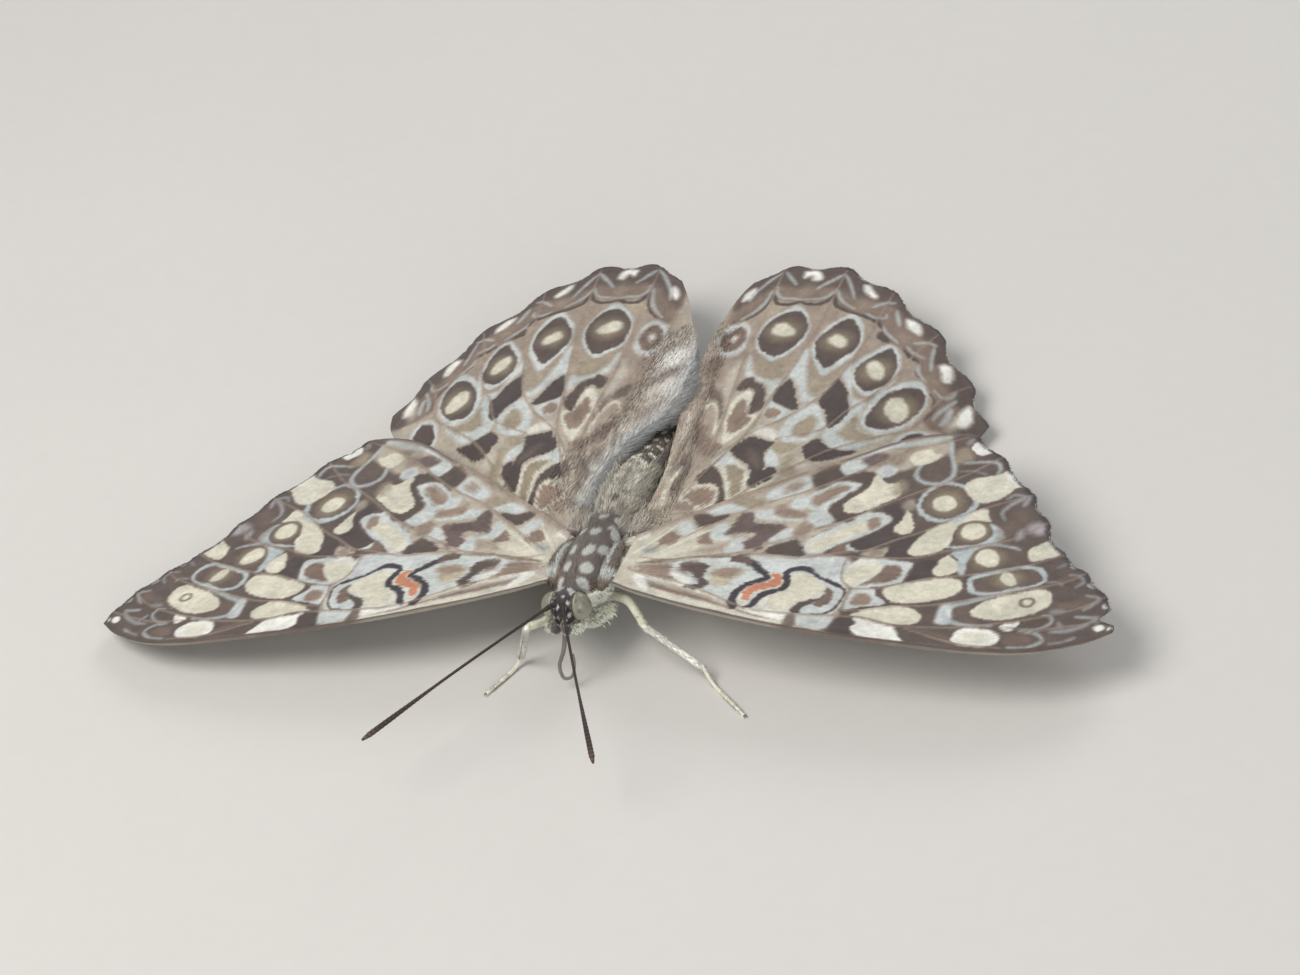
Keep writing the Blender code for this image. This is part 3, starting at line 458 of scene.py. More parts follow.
    # cells between the eyespots and the discal cell
    F("dark", [(12.6, -0.9), (14, -1.0), (15.3, -1.0), (15.1, 0.2), (14.6, 0.9), (13.7, 0.5), (13.0, 0.0)], soft=0.15)
    F("stone", [(14.6, 0.6), (15.2, 0.1), (15.8, 1.3), (17.2, 2.5), (18.2, 3.6), (17.0, 3.0), (15.6, 1.9), (14.2, 1.3)], soft=0.2)
    F("ice", [(15.1, 0.3), (15.5, -0.7), (16.5, -0.75), (17.4, 0.2), (18.5, 1.0), (19.4, 1.8), (20.1, 2.6), (20.6, 3.3), (20.1, 3.95), (19.2, 4.1), (18.4, 3.9), (17.5, 3.1), (16.6, 2.1), (15.6, 1.3)], soft=0.12)
    F("cream", [(15.4, -0.1), (15.8, -0.6), (16.5, -0.5), (17.2, 0.4), (18.2, 1.3), (19.0, 1.9), (19.2, 2.4), (18.8, 3.0), (18.2, 2.9), (17.3, 2.2), (16.4, 1.4), (15.6, 0.7)], soft=0.12)
    F("taupe", [(18.9, 2.7), (19.4, 2.2), (19.85, 2.8), (19.7, 3.5), (19.1, 3.6)], soft=0.15)
    F("umber", [(17.1, -0.7), (18.6, -0.6), (18.3, 0.0), (18.2, 0.7), (17.5, 0.2)], soft=0.15)
    F("ice", [(18.2, 0.2), (18.5, -0.25), (19.2, -0.3), (18.9, 0.1), (18.4, 0.7)], soft=0.1)
    F("soot", [(18.3, 0.6), (18.9, 0.0), (19.8, 0.1), (20.6, 0.6), (21.4, 1.2), (21.4, 1.8), (21.0, 2.1), (20.9, 2.8), (21.2, 3.6), (21.1, 4.4), (20.7, 5.1), (20.2, 5.2), (19.5, 4.5), (19.9, 4.15), (20.6, 3.7), (20.6, 3.1), (20.1, 2.4), (19.3, 1.6), (18.7, 1.0)])
    F("stone", [(19.4, -0.5), (20.6, -0.8), (21.2, -0.5), (21.1, 0.4), (20.4, 0.1), (19.9, -0.1)], soft=0.15)
    F("taupe", [(20.0, -0.6), (20.8, -0.5), (20.7, 0.0), (20.1, 0.0)], soft=0.15, fade=0.7)
    F("soot", [(21.1, -0.6), (22.2, -0.85), (23.3, -0.6), (22.6, 0.0), (22.6, 0.9), (22.9, 1.8), (23.2, 2.3), (22.6, 2.0), (21.9, 1.6), (21.5, 1.2), (21.1, 0.6), (21.3, 0.0)])
    F("soot", [(23.4, -3.1), (24.6, -2.75), (25.1, -2.4), (24.75, -1.6), (25.0, -0.9), (24.3, -0.5), (23.5, -0.8), (23.4, -2.2)], soft=0.12)
    F("cream", [(21.0, 2.2), (21.5, 1.9), (22.2, 2.1), (22.35, 2.7), (22.0, 3.5), (21.6, 4.3), (21.3, 4.6), (21.3, 3.6), (21.0, 2.9)])
    F("stone", [(20.9, 4.8), (21.5, 4.5), (21.8, 5.2), (21.3, 5.9), (20.9, 5.5)], soft=0.2, fade=0.7)
    F("ice", [(14.4, 3.3), (14.9, 2.6), (15.6, 2.15), (16.6, 2.8), (16.3, 3.4), (15.7, 3.9), (15.4, 4.6), (14.7, 4.0)], soft=0.15)
    F("dark", [(15.8, 4.0), (16.3, 3.4), (16.9, 2.7), (17.7, 3.0), (18.1, 3.6), (17.3, 3.75), (16.7, 4.2), (16.6, 4.9), (17.0, 5.6), (17.5, 6.4), (17.9, 7.2), (18.0, 8.0), (17.9, 8.5), (17.0, 8.4), (16.6, 7.6), (17.3, 7.1), (17.2, 6.4), (16.5, 5.3), (15.95, 4.6)], soft=0.12)
    F("cream", [(16.65, 4.6), (17.0, 3.95), (17.7, 3.85), (18.4, 4.2), (19.2, 4.9), (20.0, 5.6), (20.4, 6.2), (20.2, 7.0), (19.9, 7.5), (19.2, 7.4), (18.7, 7.8), (18.3, 8.3), (17.95, 8.0), (17.95, 7.1), (17.5, 6.2), (16.95, 5.4)])
    F("olive", [(19.9, 6.2), (20.6, 6.4), (20.6, 7.4), (20.0, 7.9), (19.6, 7.3)], soft=0.25, fade=0.7)
    F("ice", [(13.5, 5.0), (13.9, 4.3), (14.9, 4.0), (15.6, 4.6), (16.4, 5.6), (17.1, 6.6), (17.25, 7.1), (16.5, 7.35), (15.6, 7.2), (14.6, 6.4), (13.9, 5.7)], soft=0.12)
    F("taupe", [(14.2, 4.9), (14.9, 4.6), (15.7, 5.5), (16.5, 6.4), (16.4, 6.85), (15.7, 6.8), (14.8, 6.1), (14.2, 5.5)], soft=0.2)
    F("dark", [(13.8, 7.0), (14.4, 6.7), (15.3, 7.35), (16.3, 7.6), (17.2, 7.9), (17.2, 8.5), (16.5, 8.1), (15.8, 8.0), (15.3, 8.6), (15.0, 9.2), (14.4, 8.8), (13.6, 7.9)], soft=0.13)
    F("ice", [(15.25, 8.9), (15.8, 8.15), (16.4, 8.15), (17.1, 8.9), (16.9, 9.6), (16.2, 9.9), (15.5, 9.5)], soft=0.12)
    F("plum", [(16.6, 9.9), (17.3, 9.2), (18.1, 9.5), (18.5, 10.3), (17.6, 10.7)], soft=0.2)
    F("ice", [(17.9, 8.5), (18.6, 8.0), (19.25, 8.3), (19.35, 9.0), (18.8, 9.5), (18.2, 9.2)], soft=0.15)
    F("violet", [(18.3, 8.6), (19.0, 8.5), (19.0, 9.2), (18.5, 9.2)], soft=0.2, fade=0.6)
    F("umber", [(18.2, 9.8), (19.4, 9.5), (19.8, 10.8), (20.6, 11.6), (19.6, 11.6), (18.6, 10.9)], soft=0.3, fade=0.6)
    F("stone", [(18.6, 10.6), (19.4, 10.8), (19.2, 11.3), (18.5, 11.0)], soft=0.2, fade=0.6)
    S("ice", [(15.9, 9.95), (17.2, 10.8), (18.2, 11.4), (19.0, 11.9)], 0.4)
    S("mist", [(18.8, 11.5), (20.2, 12.1), (21.4, 12.6), (22.2, 12.9)], 0.55)
    # base: cream and grey streaks run out from the joint between the veins
    F("pearl", [(2.2, -3.4), (3.4, -4.0), (4.4, -3.2), (6.0, -2.4), (8.6, -1.9), (9.4, -0.9), (8.6, 0.4), (6.4, 1.4), (4.4, 1.2), (2.2, 0.6)], soft=0.5, rag=0.5, fade=0.55)
    F("umber", [(4.35, -0.1), (4.48, 0.77), (5.18, 1.17), (5.8, 0.57), (5.79, -0.18), (4.9, -0.52)], soft=0.16, rag=1.6, fade=0.85)
    F("umber", [(7.35, -0.11), (7.36, 0.63), (7.85, 1.15), (8.33, 0.43), (8.37, -0.19)], soft=0.16, rag=1.6, fade=0.9)
    F("slate", [(3.43, -0.87), (4.22, -0.48), (4.88, -0.7), (4.47, -1.21), (3.72, -1.48)], soft=0.2, fade=0.6)
    S("cream", [(2.6, -2.2), (3.89, -2.1), (5.37, -1.3), (6.81, -0.72), (8.76, -0.62)], 0.85, soft=0.16, rag=1.2, fade=0.9)
    S("deep", [(3.6, -2.42), (5.04, -2.2), (6.37, -1.96), (7.92, -1.62), (10.13, -1.34)], 0.26, soft=0.12, fade=0.8)
    F("taupe", [(3.2, -3.0), (4.01, -2.95), (4.95, -2.62), (6.04, -2.6), (6.34, -3.34), (6.9, -4.3), (6.09, -4.08), (4.87, -3.65)], soft=0.2, rag=1.5, fade=0.95)
    S("umber", [(3.6, -2.75), (4.9, -2.7), (6.1, -2.75)], 0.3, soft=0.16, fade=0.7)
    S("umber", [(4.3, -4.1), (5.19, -4.55), (6.57, -5.0), (8.41, -5.62), (10.2, -6.1)], 0.42, soft=0.16, fade=0.75)
    F("white", [(3.75, -3.72), (4.25, -3.72), (5.0, -4.4), (5.35, -5.3), (4.74, -5.15), (4.1, -4.5)], soft=0.12, fade=0.85)
    F("white", [(2.75, 0.3), (3.3, 0.25), (3.55, 0.8), (3.15, 1.2), (2.7, 0.9)], soft=0.15, fade=0.9)
    S("pearl", [(2.7, -1.7), (3.35, -0.88), (4.73, 1.03), (5.2, 1.9)], 0.2, soft=0.09)
    S("pearl", [(3.3, -2.3), (3.9, -2.1), (5.5, -0.56), (7.98, 1.53)], 0.22, soft=0.09)
    S("umber", [(2.9, 1.35), (4.2, 2.3), (5.6, 3.3)], 0.35, soft=0.2, fade=0.6)
    S("pearl", [(2.6, -4.4), (5.0, -5.4), (8, -6.3), (11, -7.15), (14, -7.9)], 0.34, soft=0.12, fade=0.8)
    F("ice", [(5.2, 1.8), (5.8, 0.9), (6.6, 0.8), (6.6, 1.5), (6.1, 2.2), (5.5, 2.4)], soft=0.2)
    F("ice", [(8.1, 0.5), (9.0, 0.2), (9.9, 0.4), (9.1, 1.0), (9.1, 1.9), (8.6, 2.3), (8.0, 1.6)], soft=0.15)
    F("taupe", [(7.6, -1.1), (9.4, -0.9), (9.6, -0.2), (8.6, -0.1), (7.8, -0.5)], soft=0.3, fade=0.6)
    F("ice", [(9.6, -0.9), (10.6, -0.9), (11.0, -0.1), (10.4, 0.7), (9.8, 0.2)], soft=0.2)
    F("plum", [(9.0, 0.9), (9.8, 1.15), (10.8, 1.25), (11.3, 1.0), (10.7, 0.2), (11.0, -0.4), (11.9, -0.6), (12.3, 0.3), (12.7, 1.1), (13.3, 2.1), (12.5, 2.25), (11.5, 2.25), (10.8, 2.5), (10.6, 3.2), (10.0, 3.6), (9.5, 2.9), (9.3, 1.9)], soft=0.13)
    F("dark", [(9.5, 1.3), (10.8, 1.4), (12.6, 1.4), (12.2, 2.1), (10.4, 2.1), (9.9, 3.0), (9.5, 2.2)], soft=0.3, fade=0.55)
    F("ice", [(12.4, 0.6), (13.0, 0.2), (14.2, 0.9), (13.9, 1.9), (13.3, 1.7), (12.8, 1.0)], soft=0.15)
    F("taupe", [(13.9, 1.3), (14.8, 1.1), (15.2, 2.0), (14.5, 2.7), (14.1, 2.3)], soft=0.2, fade=0.9)
    F("ice", [(10.8, 2.9), (12.3, 2.6), (13.9, 2.7), (14.0, 3.0), (12.4, 3.1), (11.9, 3.8), (11.2, 3.9), (10.6, 3.7)], soft=0.15)
    F("taupe", [(12.0, 3.4), (13.2, 3.1), (14.3, 3.3), (13.7, 3.9), (12.6, 4.3), (12.1, 4.3)], soft=0.2)
    F("dark", [(6.0, 3.0), (6.6, 2.1), (7.2, 1.7), (7.9, 2.2), (8.8, 2.8), (8.6, 3.2), (7.6, 3.0), (6.9, 3.3)], soft=0.15)
    F("ice", [(6.9, 3.5), (7.8, 3.2), (8.8, 3.4), (9.8, 3.6), (9.2, 4.2), (8.2, 4.4), (7.4, 4.1)], soft=0.15)
    F("olive", [(8.6, 4.6), (9.6, 4.1), (10.7, 4.2), (10.9, 4.7), (10.2, 5.1), (9.4, 5.2)], soft=0.2)
    F("ice", [(10.8, 5.2), (11.6, 5.0), (12.6, 5.3), (13.7, 6.3), (13.6, 7.0), (13.1, 7.8), (12.3, 7.3), (11.4, 6.4), (10.8, 5.8)], soft=0.2)
    O("taupe", 12.5, 6.5, 0.75, 0.5, 40, soft=0.25, fade=0.8)
    F("ice", [(12.9, 4.2), (13.8, 4.0), (14.0, 4.6), (13.6, 5.6), (12.9, 5.1)], soft=0.15)
    S("taupe", [(9.6, 5.9), (11.4, 7.1), (13.0, 8.1)], 0.35, fade=0.7)


def paint_hind(p, folded):
    F, O, S = p.fill, p.oval, p.stroke
    F("dun", [(1, 19), (6, 20), (11, 20), (14, 18), (18, 17), (20, 22), (16, 27), (12, 29), (6, 30), (1, 28)], soft=1.2, rag=0)
    # arches of tan over each eyespot
    F("olive", [(4.7, 22.0), (5.2, 20.2), (6.2, 19.4), (7.0, 20.2), (7.3, 21.8), (6.6, 22.2), (6.0, 21.7), (5.2, 22.2)], soft=0.4, fade=0.75)
    F("olive", [(9.2, 20.6), (9.6, 19.2), (10.3, 18.4), (10.9, 19.6), (11.0, 21.2), (10.5, 20.9), (10.0, 20.4), (9.5, 21.2)], soft=0.4, fade=0.75)
    F("olive", [(12.5, 19.3), (13.0, 18.6), (14.0, 18.8), (14.2, 19.6), (13.4, 19.2)], soft=0.3, fade=0.8)
    F("sand", [(3.2, 28.6), (3.9, 26.8), (4.6, 28.3), (5.6, 29.3), (4.3, 29.2)], soft=0.3, fade=0.6)
    F("ice", [(4.1, 22.6), (4.3, 20.4), (5.2, 19.5), (6.2, 19.2), (7.0, 17.9), (7.4, 18.4), (7.3, 19.8), (6.6, 19.6), (5.3, 20.0), (4.7, 21.2)], soft=0.2, fade=0.9)
    F("ice", [(7.7, 20.2), (8.2, 19.9), (8.8, 19.0), (9.4, 17.9), (9.9, 17.4), (10.5, 18.0), (9.9, 18.3), (9.3, 19.6), (8.8, 21.4), (8.4, 23.4), (8.0, 23.6), (7.9, 22)], soft=0.2)
    F("ice", [(11.4, 21.3), (12.0, 20.4), (12.6, 19.2), (13.2, 17.7), (14.0, 18.2), (13.8, 18.8), (12.9, 19.0), (12.4, 20.8), (12.0, 22.2), (11.8, 22.6)], soft=0.2)
    # basal patches
    F("pearl", [(4.1, 5.3), (4.8, 6.75), (6.56, 6.8), (6.9, 6.09), (7.02, 4.61), (5.99, 3.7), (4.8, 4.3)], soft=0.2, rag=1.5)
    F("taupe", [(4.6, 5.3), (5.0, 6.25), (6.46, 6.4), (6.65, 5.5), (6.2, 4.7), (5.3, 4.8)], soft=0.2, rag=1.5)
    F("umber", [(4.0, 4.3), (4.6, 3.9), (5.6, 4.1), (5.4, 4.6), (4.6, 4.8)], soft=0.25, rag=1.5, fade=0.7)
    F("dark", [(6.9, 4.2), (7.3, 4.2), (7.7, 4.9), (7.5, 5.8), (7.1, 6.6), (6.8, 7.4), (6.3, 8.2), (5.7, 8.9), (5.2, 8.7), (4.8, 8.0), (4.8, 7.2), (5.3, 6.85), (6.0, 7.0), (6.6, 6.6), (6.9, 5.8)], soft=0.13)
    F("pearl", [(7.8, 4.9), (8.5, 5.6), (8.65, 7), (8.5, 8.3), (8.0, 9.1), (7.3, 9.7), (6.5, 10.2), (5.9, 10.9), (5.5, 10.0), (5.4, 9.3), (6.1, 8.7), (6.7, 7.7), (7.2, 6.6)], soft=0.12)
    F("ice", [(5.5, 9.4), (6.3, 9.2), (7.4, 9.4), (6.6, 10.1), (6.0, 10.8)], soft=0.2)
    F("olive", [(7.8, 5.9), (8.2, 6.4), (8.2, 7.6), (7.9, 8.7), (7.2, 9.2), (6.5, 9.25), (6.8, 8.4), (7.3, 7.3)], soft=0.15)
    F("pearl", [(8.8, 6.6), (9.3, 6.8), (10.3, 8.3), (10.3, 9.2), (9.9, 8.6), (9.4, 7.6)], soft=0.15)
    F("soot", [(8.6, 7.3), (9.0, 6.95), (9.5, 7.5), (10.0, 8.3), (10.25, 9.1), (9.9, 9.6), (9.5, 9.5), (9.2, 9.2), (9.1, 9.9), (8.8, 10.8), (8.9, 11.6), (9.0, 12.4), (8.4, 12.5), (7.8, 12.7), (7.1, 12.85), (6.7, 12.1), (6.3, 11.3), (6.4, 10.7), (7.0, 10.1), (7.9, 9.6), (8.4, 8.8), (8.5, 8.0)])
    F("umber", [(8.0, 9.8), (8.8, 9.2), (8.7, 10.2), (7.9, 11.3), (7.4, 11.2)], soft=0.3, fade=0.5)
    F("ice", [(8.95, 10.3), (9.6, 9.7), (10.3, 9.8), (9.9, 10.6), (9.4, 11.4), (9.0, 11.4)], soft=0.15)
    F("olive", [(10.2, 9.9), (10.7, 9.0), (11.5, 9.0), (11.4, 10.1), (10.9, 11.0), (10.4, 10.9)], soft=0.25)
    F("rose", [(10.9, 10.4), (11.6, 9.8), (12.2, 10.4), (11.4, 11.2)], soft=0.25, fade=0.8)
    F("olive", [(9.2, 11.6), (9.9, 11.3), (10.6, 12.0), (10.2, 12.6), (9.3, 12.5)], soft=0.2, fade=0.8)
    F("white", [(7.2, 13.2), (8.2, 12.85), (9.0, 12.7), (9.0, 13.4), (8.3, 13.95), (7.6, 14.0)], soft=0.2, fade=0.75)
    F("ice", [(9.3, 12.8), (10, 12.6), (11.2, 13.1), (11.8, 14.2), (11.85, 15.4), (11.4, 16.3), (10.9, 17.3), (10.1, 17.2), (9.6, 16.2), (9.2, 15), (9.1, 13.6)], soft=0.15)
    F("olive", [(10.1, 13.5), (11, 13.6), (11.4, 14.6), (11.3, 15.6), (10.8, 16.1), (10.2, 15.4), (9.9, 14.4)], soft=0.2)
    F("soot", [(11.2, 12.3), (11.5, 11.4), (12.0, 11.0), (12.8, 11.1), (13.6, 11.7), (14.4, 12.4), (14.8, 13.0), (13.8, 12.75), (13.0, 12.75), (12.4, 13.2), (12.0, 13.5), (11.5, 13.0)])
    F("ice", [(12.1, 14.4), (12.4, 13.4), (13.2, 12.85), (14.2, 13.0), (15.0, 13.7), (15.9, 14.7), (16.5, 15.6), (15.8, 15.6), (14.9, 15.3), (14.3, 15.6), (14.0, 16.6), (13.9, 18.0), (13.3, 17.6), (12.8, 16.2), (12.2, 15.2)], soft=0.15)
    F("olive", [(13.2, 14.3), (14.2, 13.9), (15.2, 14.4), (16.0, 15.3), (15.3, 15.2), (14.4, 15.4), (14.1, 16.2), (13.8, 17), (13.5, 16.0), (13.2, 15.2)], soft=0.2)
    F("soot", [(12.2, 15.0), (12.7, 15.5), (13.0, 16.4), (13.1, 17.6), (12.7, 18.4), (12.4, 19.4), (11.9, 20.2), (11.3, 20.6), (11.1, 19.8), (10.9, 18.9), (10.7, 17.9), (10.9, 17.35), (11.5, 16.8), (11.9, 15.8)])
    F("soot", [(7.5, 17.1), (8.2, 16.65), (8.9, 16.3), (9.6, 16.5), (9.25, 17.3), (8.9, 18.2), (8.6, 19.0), (8.2, 19.7), (7.9, 20.0), (7.7, 19.2), (7.4, 18.2)])
    F("pearl", [(5.3, 11.6), (6.1, 12.8), (6.77, 14.2), (6.87, 15.3), (6.35, 15.6), (5.9, 17.4), (5.4, 18.1), (4.8, 17.6), (4.5, 16.5), (4.58, 14.6), (5.0, 12.9)], soft=0.12)
    F("taupe", [(5.2, 13.3), (5.9, 13.2), (6.5, 14.3), (6.5, 14.95), (6.05, 15.3), (5.5, 16.9), (5.1, 16.7), (4.85, 15.6), (4.85, 14.6)], soft=0.13)
    F("umber", [(5.1, 14.6), (5.7, 14.0), (6.2, 14.8), (5.6, 15.6), (5.3, 16.3)], soft=0.3, fade=0.4)
    F("dark", [(6.1, 15.5), (6.6, 15.5), (7.0, 16.2), (6.9, 17.2), (6.6, 18.1), (6.2, 18.9), (5.5, 19.3), (5.2, 19.8), (4.5, 19.5), (4.3, 18.9), (4.4, 18.2), (4.8, 18.1), (5.4, 18.5), (5.8, 17.9), (6.0, 16.9)], soft=0.14)
    F("ice", [(7.2, 16.0), (7.6, 15.0), (8.5, 14.9), (9.2, 15.8), (8.9, 16.3), (7.9, 16.8), (7.4, 17.0)], soft=0.15, fade=0.9)
    O("taupe", 7.95, 15.7, 0.58, 0.68, 0, soft=0.15)
    # hairy inner third: long streaks of cream and grey brown
    F("taupe", [(1.6, 3.6), (3.6, 4.0), (4.4, 7.0), (4.6, 10.5), (4.4, 14.0), (3.2, 18.5), (1.2, 20.0), (-1.5, 18.0), (-1.0, 12.0), (1.4, 8.0)], soft=0.7, rag=0.6, fade=0.45)
    F("deep", [(2.9, 6.4), (2.6, 8.35), (3.15, 10.0), (3.75, 8.71), (3.95, 7.02), (3.9, 5.34), (3.5, 4.9)], soft=0.3, rag=1.8, fade=0.85)
    S("cream", [(3.05, 3.9), (3.0, 5.6), (3.1, 7.2), (3.3, 8.0)], 0.62, soft=0.22, rag=1.6, fade=0.9)
    S("cream", [(2.1, 5.2), (2.3, 7.6), (2.4, 9.8)], 0.5, soft=0.25, rag=1.6, fade=0.6)
    F("umber", [(2.3, 13.6), (3.22, 13.8), (3.83, 12.6), (3.95, 11.2), (3.3, 10.8), (2.7, 11.9)], soft=0.28, rag=1.8, fade=0.8)
    F("umber", [(3.84, 11.5), (4.65, 12.1), (5.3, 11.3), (4.9, 10.3), (4.2, 10.2)], soft=0.25, rag=1.8, fade=0.8)
    S("rose", [(2.2, 10.4), (2.3, 12.4), (1.9, 14.6)], 0.8, soft=0.3, rag=1.6, fade=0.7)
    S("pearl", [(2.5, 15.2), (2.7, 16.2), (3.3, 16.3), (4.0, 14.9), (4.25, 12.9)], 0.34, soft=0.12, rag=1.4)
    F("deep", [(2.35, 17.3), (2.5, 18.5), (3.35, 17.8), (4.14, 15.7), (4.37, 14.2), (4.1, 14.6), (3.4, 16.7)], soft=0.22, rag=1.8, fade=0.85)
    S("rose", [(3.9, 17.4), (3.5, 19.6), (3.7, 21.6)], 0.8, soft=0.3, rag=1.4, fade=0.8)
    F("umber", [(1.0, 20.0), (2.0, 19.6), (2.2, 21.4), (1.0, 22.0)], soft=0.35, rag=1.6, fade=0.7)
    F("umber", [(-0.9, 13.4), (0.6, 12.8), (1.4, 13.6), (0.8, 14.8), (-0.9, 15.2)], soft=0.3, rag=1.8, fade=0.6)
    F("cream", [(-0.6, 10.8), (0.9, 10.0), (1.6, 11.0), (0.8, 12.2), (-0.6, 12.6)], soft=0.3, rag=1.8, fade=0.6)
    # eyespots
    p.eyespot = True
    F("ice", [(1.9, 22.2), (2.8, 22.4), (3.3, 23.2), (3.3, 24.6), (3.15, 25.8), (2.6, 26.6), (1.9, 26.9), (1.3, 26.3), (1.0, 25), (1.0, 23.6), (1.3, 22.7)], soft=0.16, fade=0.85)
    F("umber", [(2.0, 22.9), (2.6, 23.1), (3.0, 23.9), (3.0, 25.0), (2.7, 25.8), (2.1, 26.2), (1.6, 25.6), (1.3, 24.6), (1.4, 23.6)], soft=0.15)
    O("white", 2.15, 24.6, 0.26, 0.5, -10, soft=0.18, fade=0.8)
    F("ice", [(6.0, 21.9), (7.0, 23.1), (7.6, 24.8), (7.55, 26.4), (7.0, 27.8), (6.4, 28.7), (5.8, 29.1), (5.2, 28.6), (4.4, 27.6), (3.95, 26.2), (3.9, 24.7), (4.3, 23.4), (5.1, 22.5)], soft=0.14)
    F("dark", grow([(6.0, 22.6), (6.7, 23.4), (7.2, 24.6), (7.4, 25.8), (7.1, 27.0), (6.5, 27.9), (5.8, 28.2), (5.1, 27.8), (4.5, 26.9), (4.15, 25.8), (4.2, 24.6), (4.6, 23.6), (5.3, 23.0)], 1.06))
    O("halo", 5.75, 25.75, 1.15, 1.25, 0, soft=0.6, rag=0, fade=0.85)
    F("cream", [(4.8, 25.7), (5.2, 25.2), (6.0, 25.05), (6.6, 25.3), (6.5, 25.9), (6.0, 26.4), (5.5, 26.8), (4.9, 26.5)], soft=0.18)
    F("ice", [(10.1, 20.8), (10.9, 22.0), (11.65, 23.6), (11.85, 25.2), (11.6, 26.8), (11.0, 28.0), (10.3, 28.7), (9.6, 28.0), (8.8, 26.7), (8.45, 25.2), (8.5, 23.7), (9.1, 22.3)], soft=0.14)
    F("dark", grow([(10.1, 21.9), (10.8, 23.0), (11.4, 24.3), (11.5, 25.6), (11.1, 26.8), (10.3, 27.8), (9.5, 27.1), (8.9, 26.0), (8.6, 24.8), (8.9, 23.6), (9.4, 22.6)], 1.06))
    O("halo", 10.05, 25.1, 1.0, 1.15, -15, soft=0.55, rag=0, fade=0.85)
    F("cream", [(9.3, 25.2), (9.8, 24.6), (10.4, 24.3), (10.8, 24.6), (10.7, 25.3), (10.3, 25.7), (9.7, 25.9)], soft=0.17)
    F("ice", [(13.6, 19.3), (14.6, 19.9), (15.15, 21.3), (15.2, 23.0), (14.9, 24.6), (14.2, 25.8), (13.6, 25.7), (12.8, 24.5), (12.15, 23.2), (12.05, 21.9), (12.4, 20.5)], soft=0.14)
    F("dark", grow([(13.4, 20.1), (14.2, 20.4), (14.8, 21.3), (14.9, 22.6), (14.7, 24.0), (14.0, 25.2), (13.4, 24.6), (12.8, 23.6), (12.35, 22.5), (12.5, 21.2)], 1.06))
    O("halo", 13.6, 22.4, 0.95, 1.35, -20, soft=0.5, rag=0, fade=0.85)
    F("cream", [(12.85, 22.6), (13.2, 21.9), (13.8, 21.4), (14.3, 21.6), (14.3, 22.4), (13.9, 23.2), (13.3, 23.6), (12.9, 23.2)], soft=0.15)
    F("ice", [(15.0, 15.5), (16.2, 15.8), (17.1, 16.7), (17.75, 18.2), (18.0, 19.8), (17.7, 21.3), (17.0, 22.4), (16.0, 21.9), (15.1, 20.8), (14.4, 19.4), (14.1, 17.8), (14.2, 16.3)], soft=0.14)
    F("dark", grow([(15.0, 16.1), (15.9, 16.2), (16.7, 16.9), (17.3, 18.0), (17.7, 19.3), (17.6, 20.6), (17.1, 21.4), (16.2, 21.1), (15.4, 20.3), (14.9, 19.2), (14.6, 17.8), (14.6, 16.7)], 1.06))
    O("halo", 16.25, 18.6, 1.1, 1.55, -20, soft=0.5, rag=0, fade=0.85)
    F("cream", [(15.3, 18.8), (15.5, 18.1), (16.0, 17.4), (16.6, 17.2), (17.0, 17.8), (17.0, 18.6), (16.7, 19.4), (16.1, 19.95), (15.5, 19.6)], soft=0.13)
    O("ice", 18.3, 15.4, 1.25, 1.75, -20, soft=0.14)
    O("dark", 18.3, 15.5, 0.9, 1.3, -20)
    # submarginal band
    F("umber", [(1.0, 26.9), (2.2, 27.0), (3.4, 29.4), (5.8, 29.5), (8.2, 29.8), (9.6, 28.9), (12.2, 28.1), (13.4, 26.2), (15.4, 25.2), (17.2, 22.6), (18.4, 20.6), (18.5, 17.8), (21.9, 17.6), (22.6, 20),
                (20.7, 24), (17, 28.9), (12.5, 32.6), (8.2, 34.8), (3.8, 34.6), (1.0, 32)], soft=0.2, fade=0.8)
    F("dark", [(1.0, 28.5), (2.0, 29.5), (3.4, 31.4), (5.8, 31.2), (8.2, 31.6), (10, 30.6), (12.6, 30.4), (14.4, 28.4), (16.6, 26.6), (18.6, 22.8), (20.2, 20.6), (20.3, 17.6), (22.6, 18.4),
                (20.7, 24), (17, 28.9), (12.5, 32.6), (8.2, 34.8), (3.8, 34.6), (1.0, 32)], soft=0.35, fade=0.85)
    S("dark", [(1.9, 32.6), (3.0, 33.7), (4.3, 34.1), (5.0, 33.7)], 1.25, thin=0.7, soft=0.15)
    S("dark", [(6.6, 33.4), (7.3, 34.0), (8.4, 34.1), (9.4, 33.4), (9.9, 32.4)], 1.35, thin=0.7, soft=0.15)
    S("dark", [(11.4, 31.7), (12.4, 31.9), (13.4, 31.2), (14.1, 30.1)], 1.25, thin=0.7, soft=0.15)
    S("dark", [(15.5, 28.8), (16.6, 28.3), (17.3, 27.2), (17.6, 26.0), (17.3, 25.2)], 1.25, thin=0.7, soft=0.15)
    S("dark", [(19.0, 24.1), (20.0, 23.4), (20.5, 22.3), (20.2, 21.4)], 1.2, thin=0.7, soft=0.15)
    S("dark", [(21.4, 20.6), (21.9, 19.3), (21.6, 18.2)], 0.7, thin=0.7, soft=0.15)
    S("dark", [(3.7, 30.1), (4.1, 29.3), (5.0, 29.15), (5.8, 29.5), (6.5, 29.3), (7.3, 29.3), (7.9, 29.8), (8.2, 30.5)], 0.36, thin=0.9)
    S("dark", [(8.4, 30.2), (8.7, 29.4), (9.6, 28.9), (10.6, 28.7), (11.5, 28.4), (12.3, 28.0), (12.7, 27.5)], 0.36, thin=0.9)
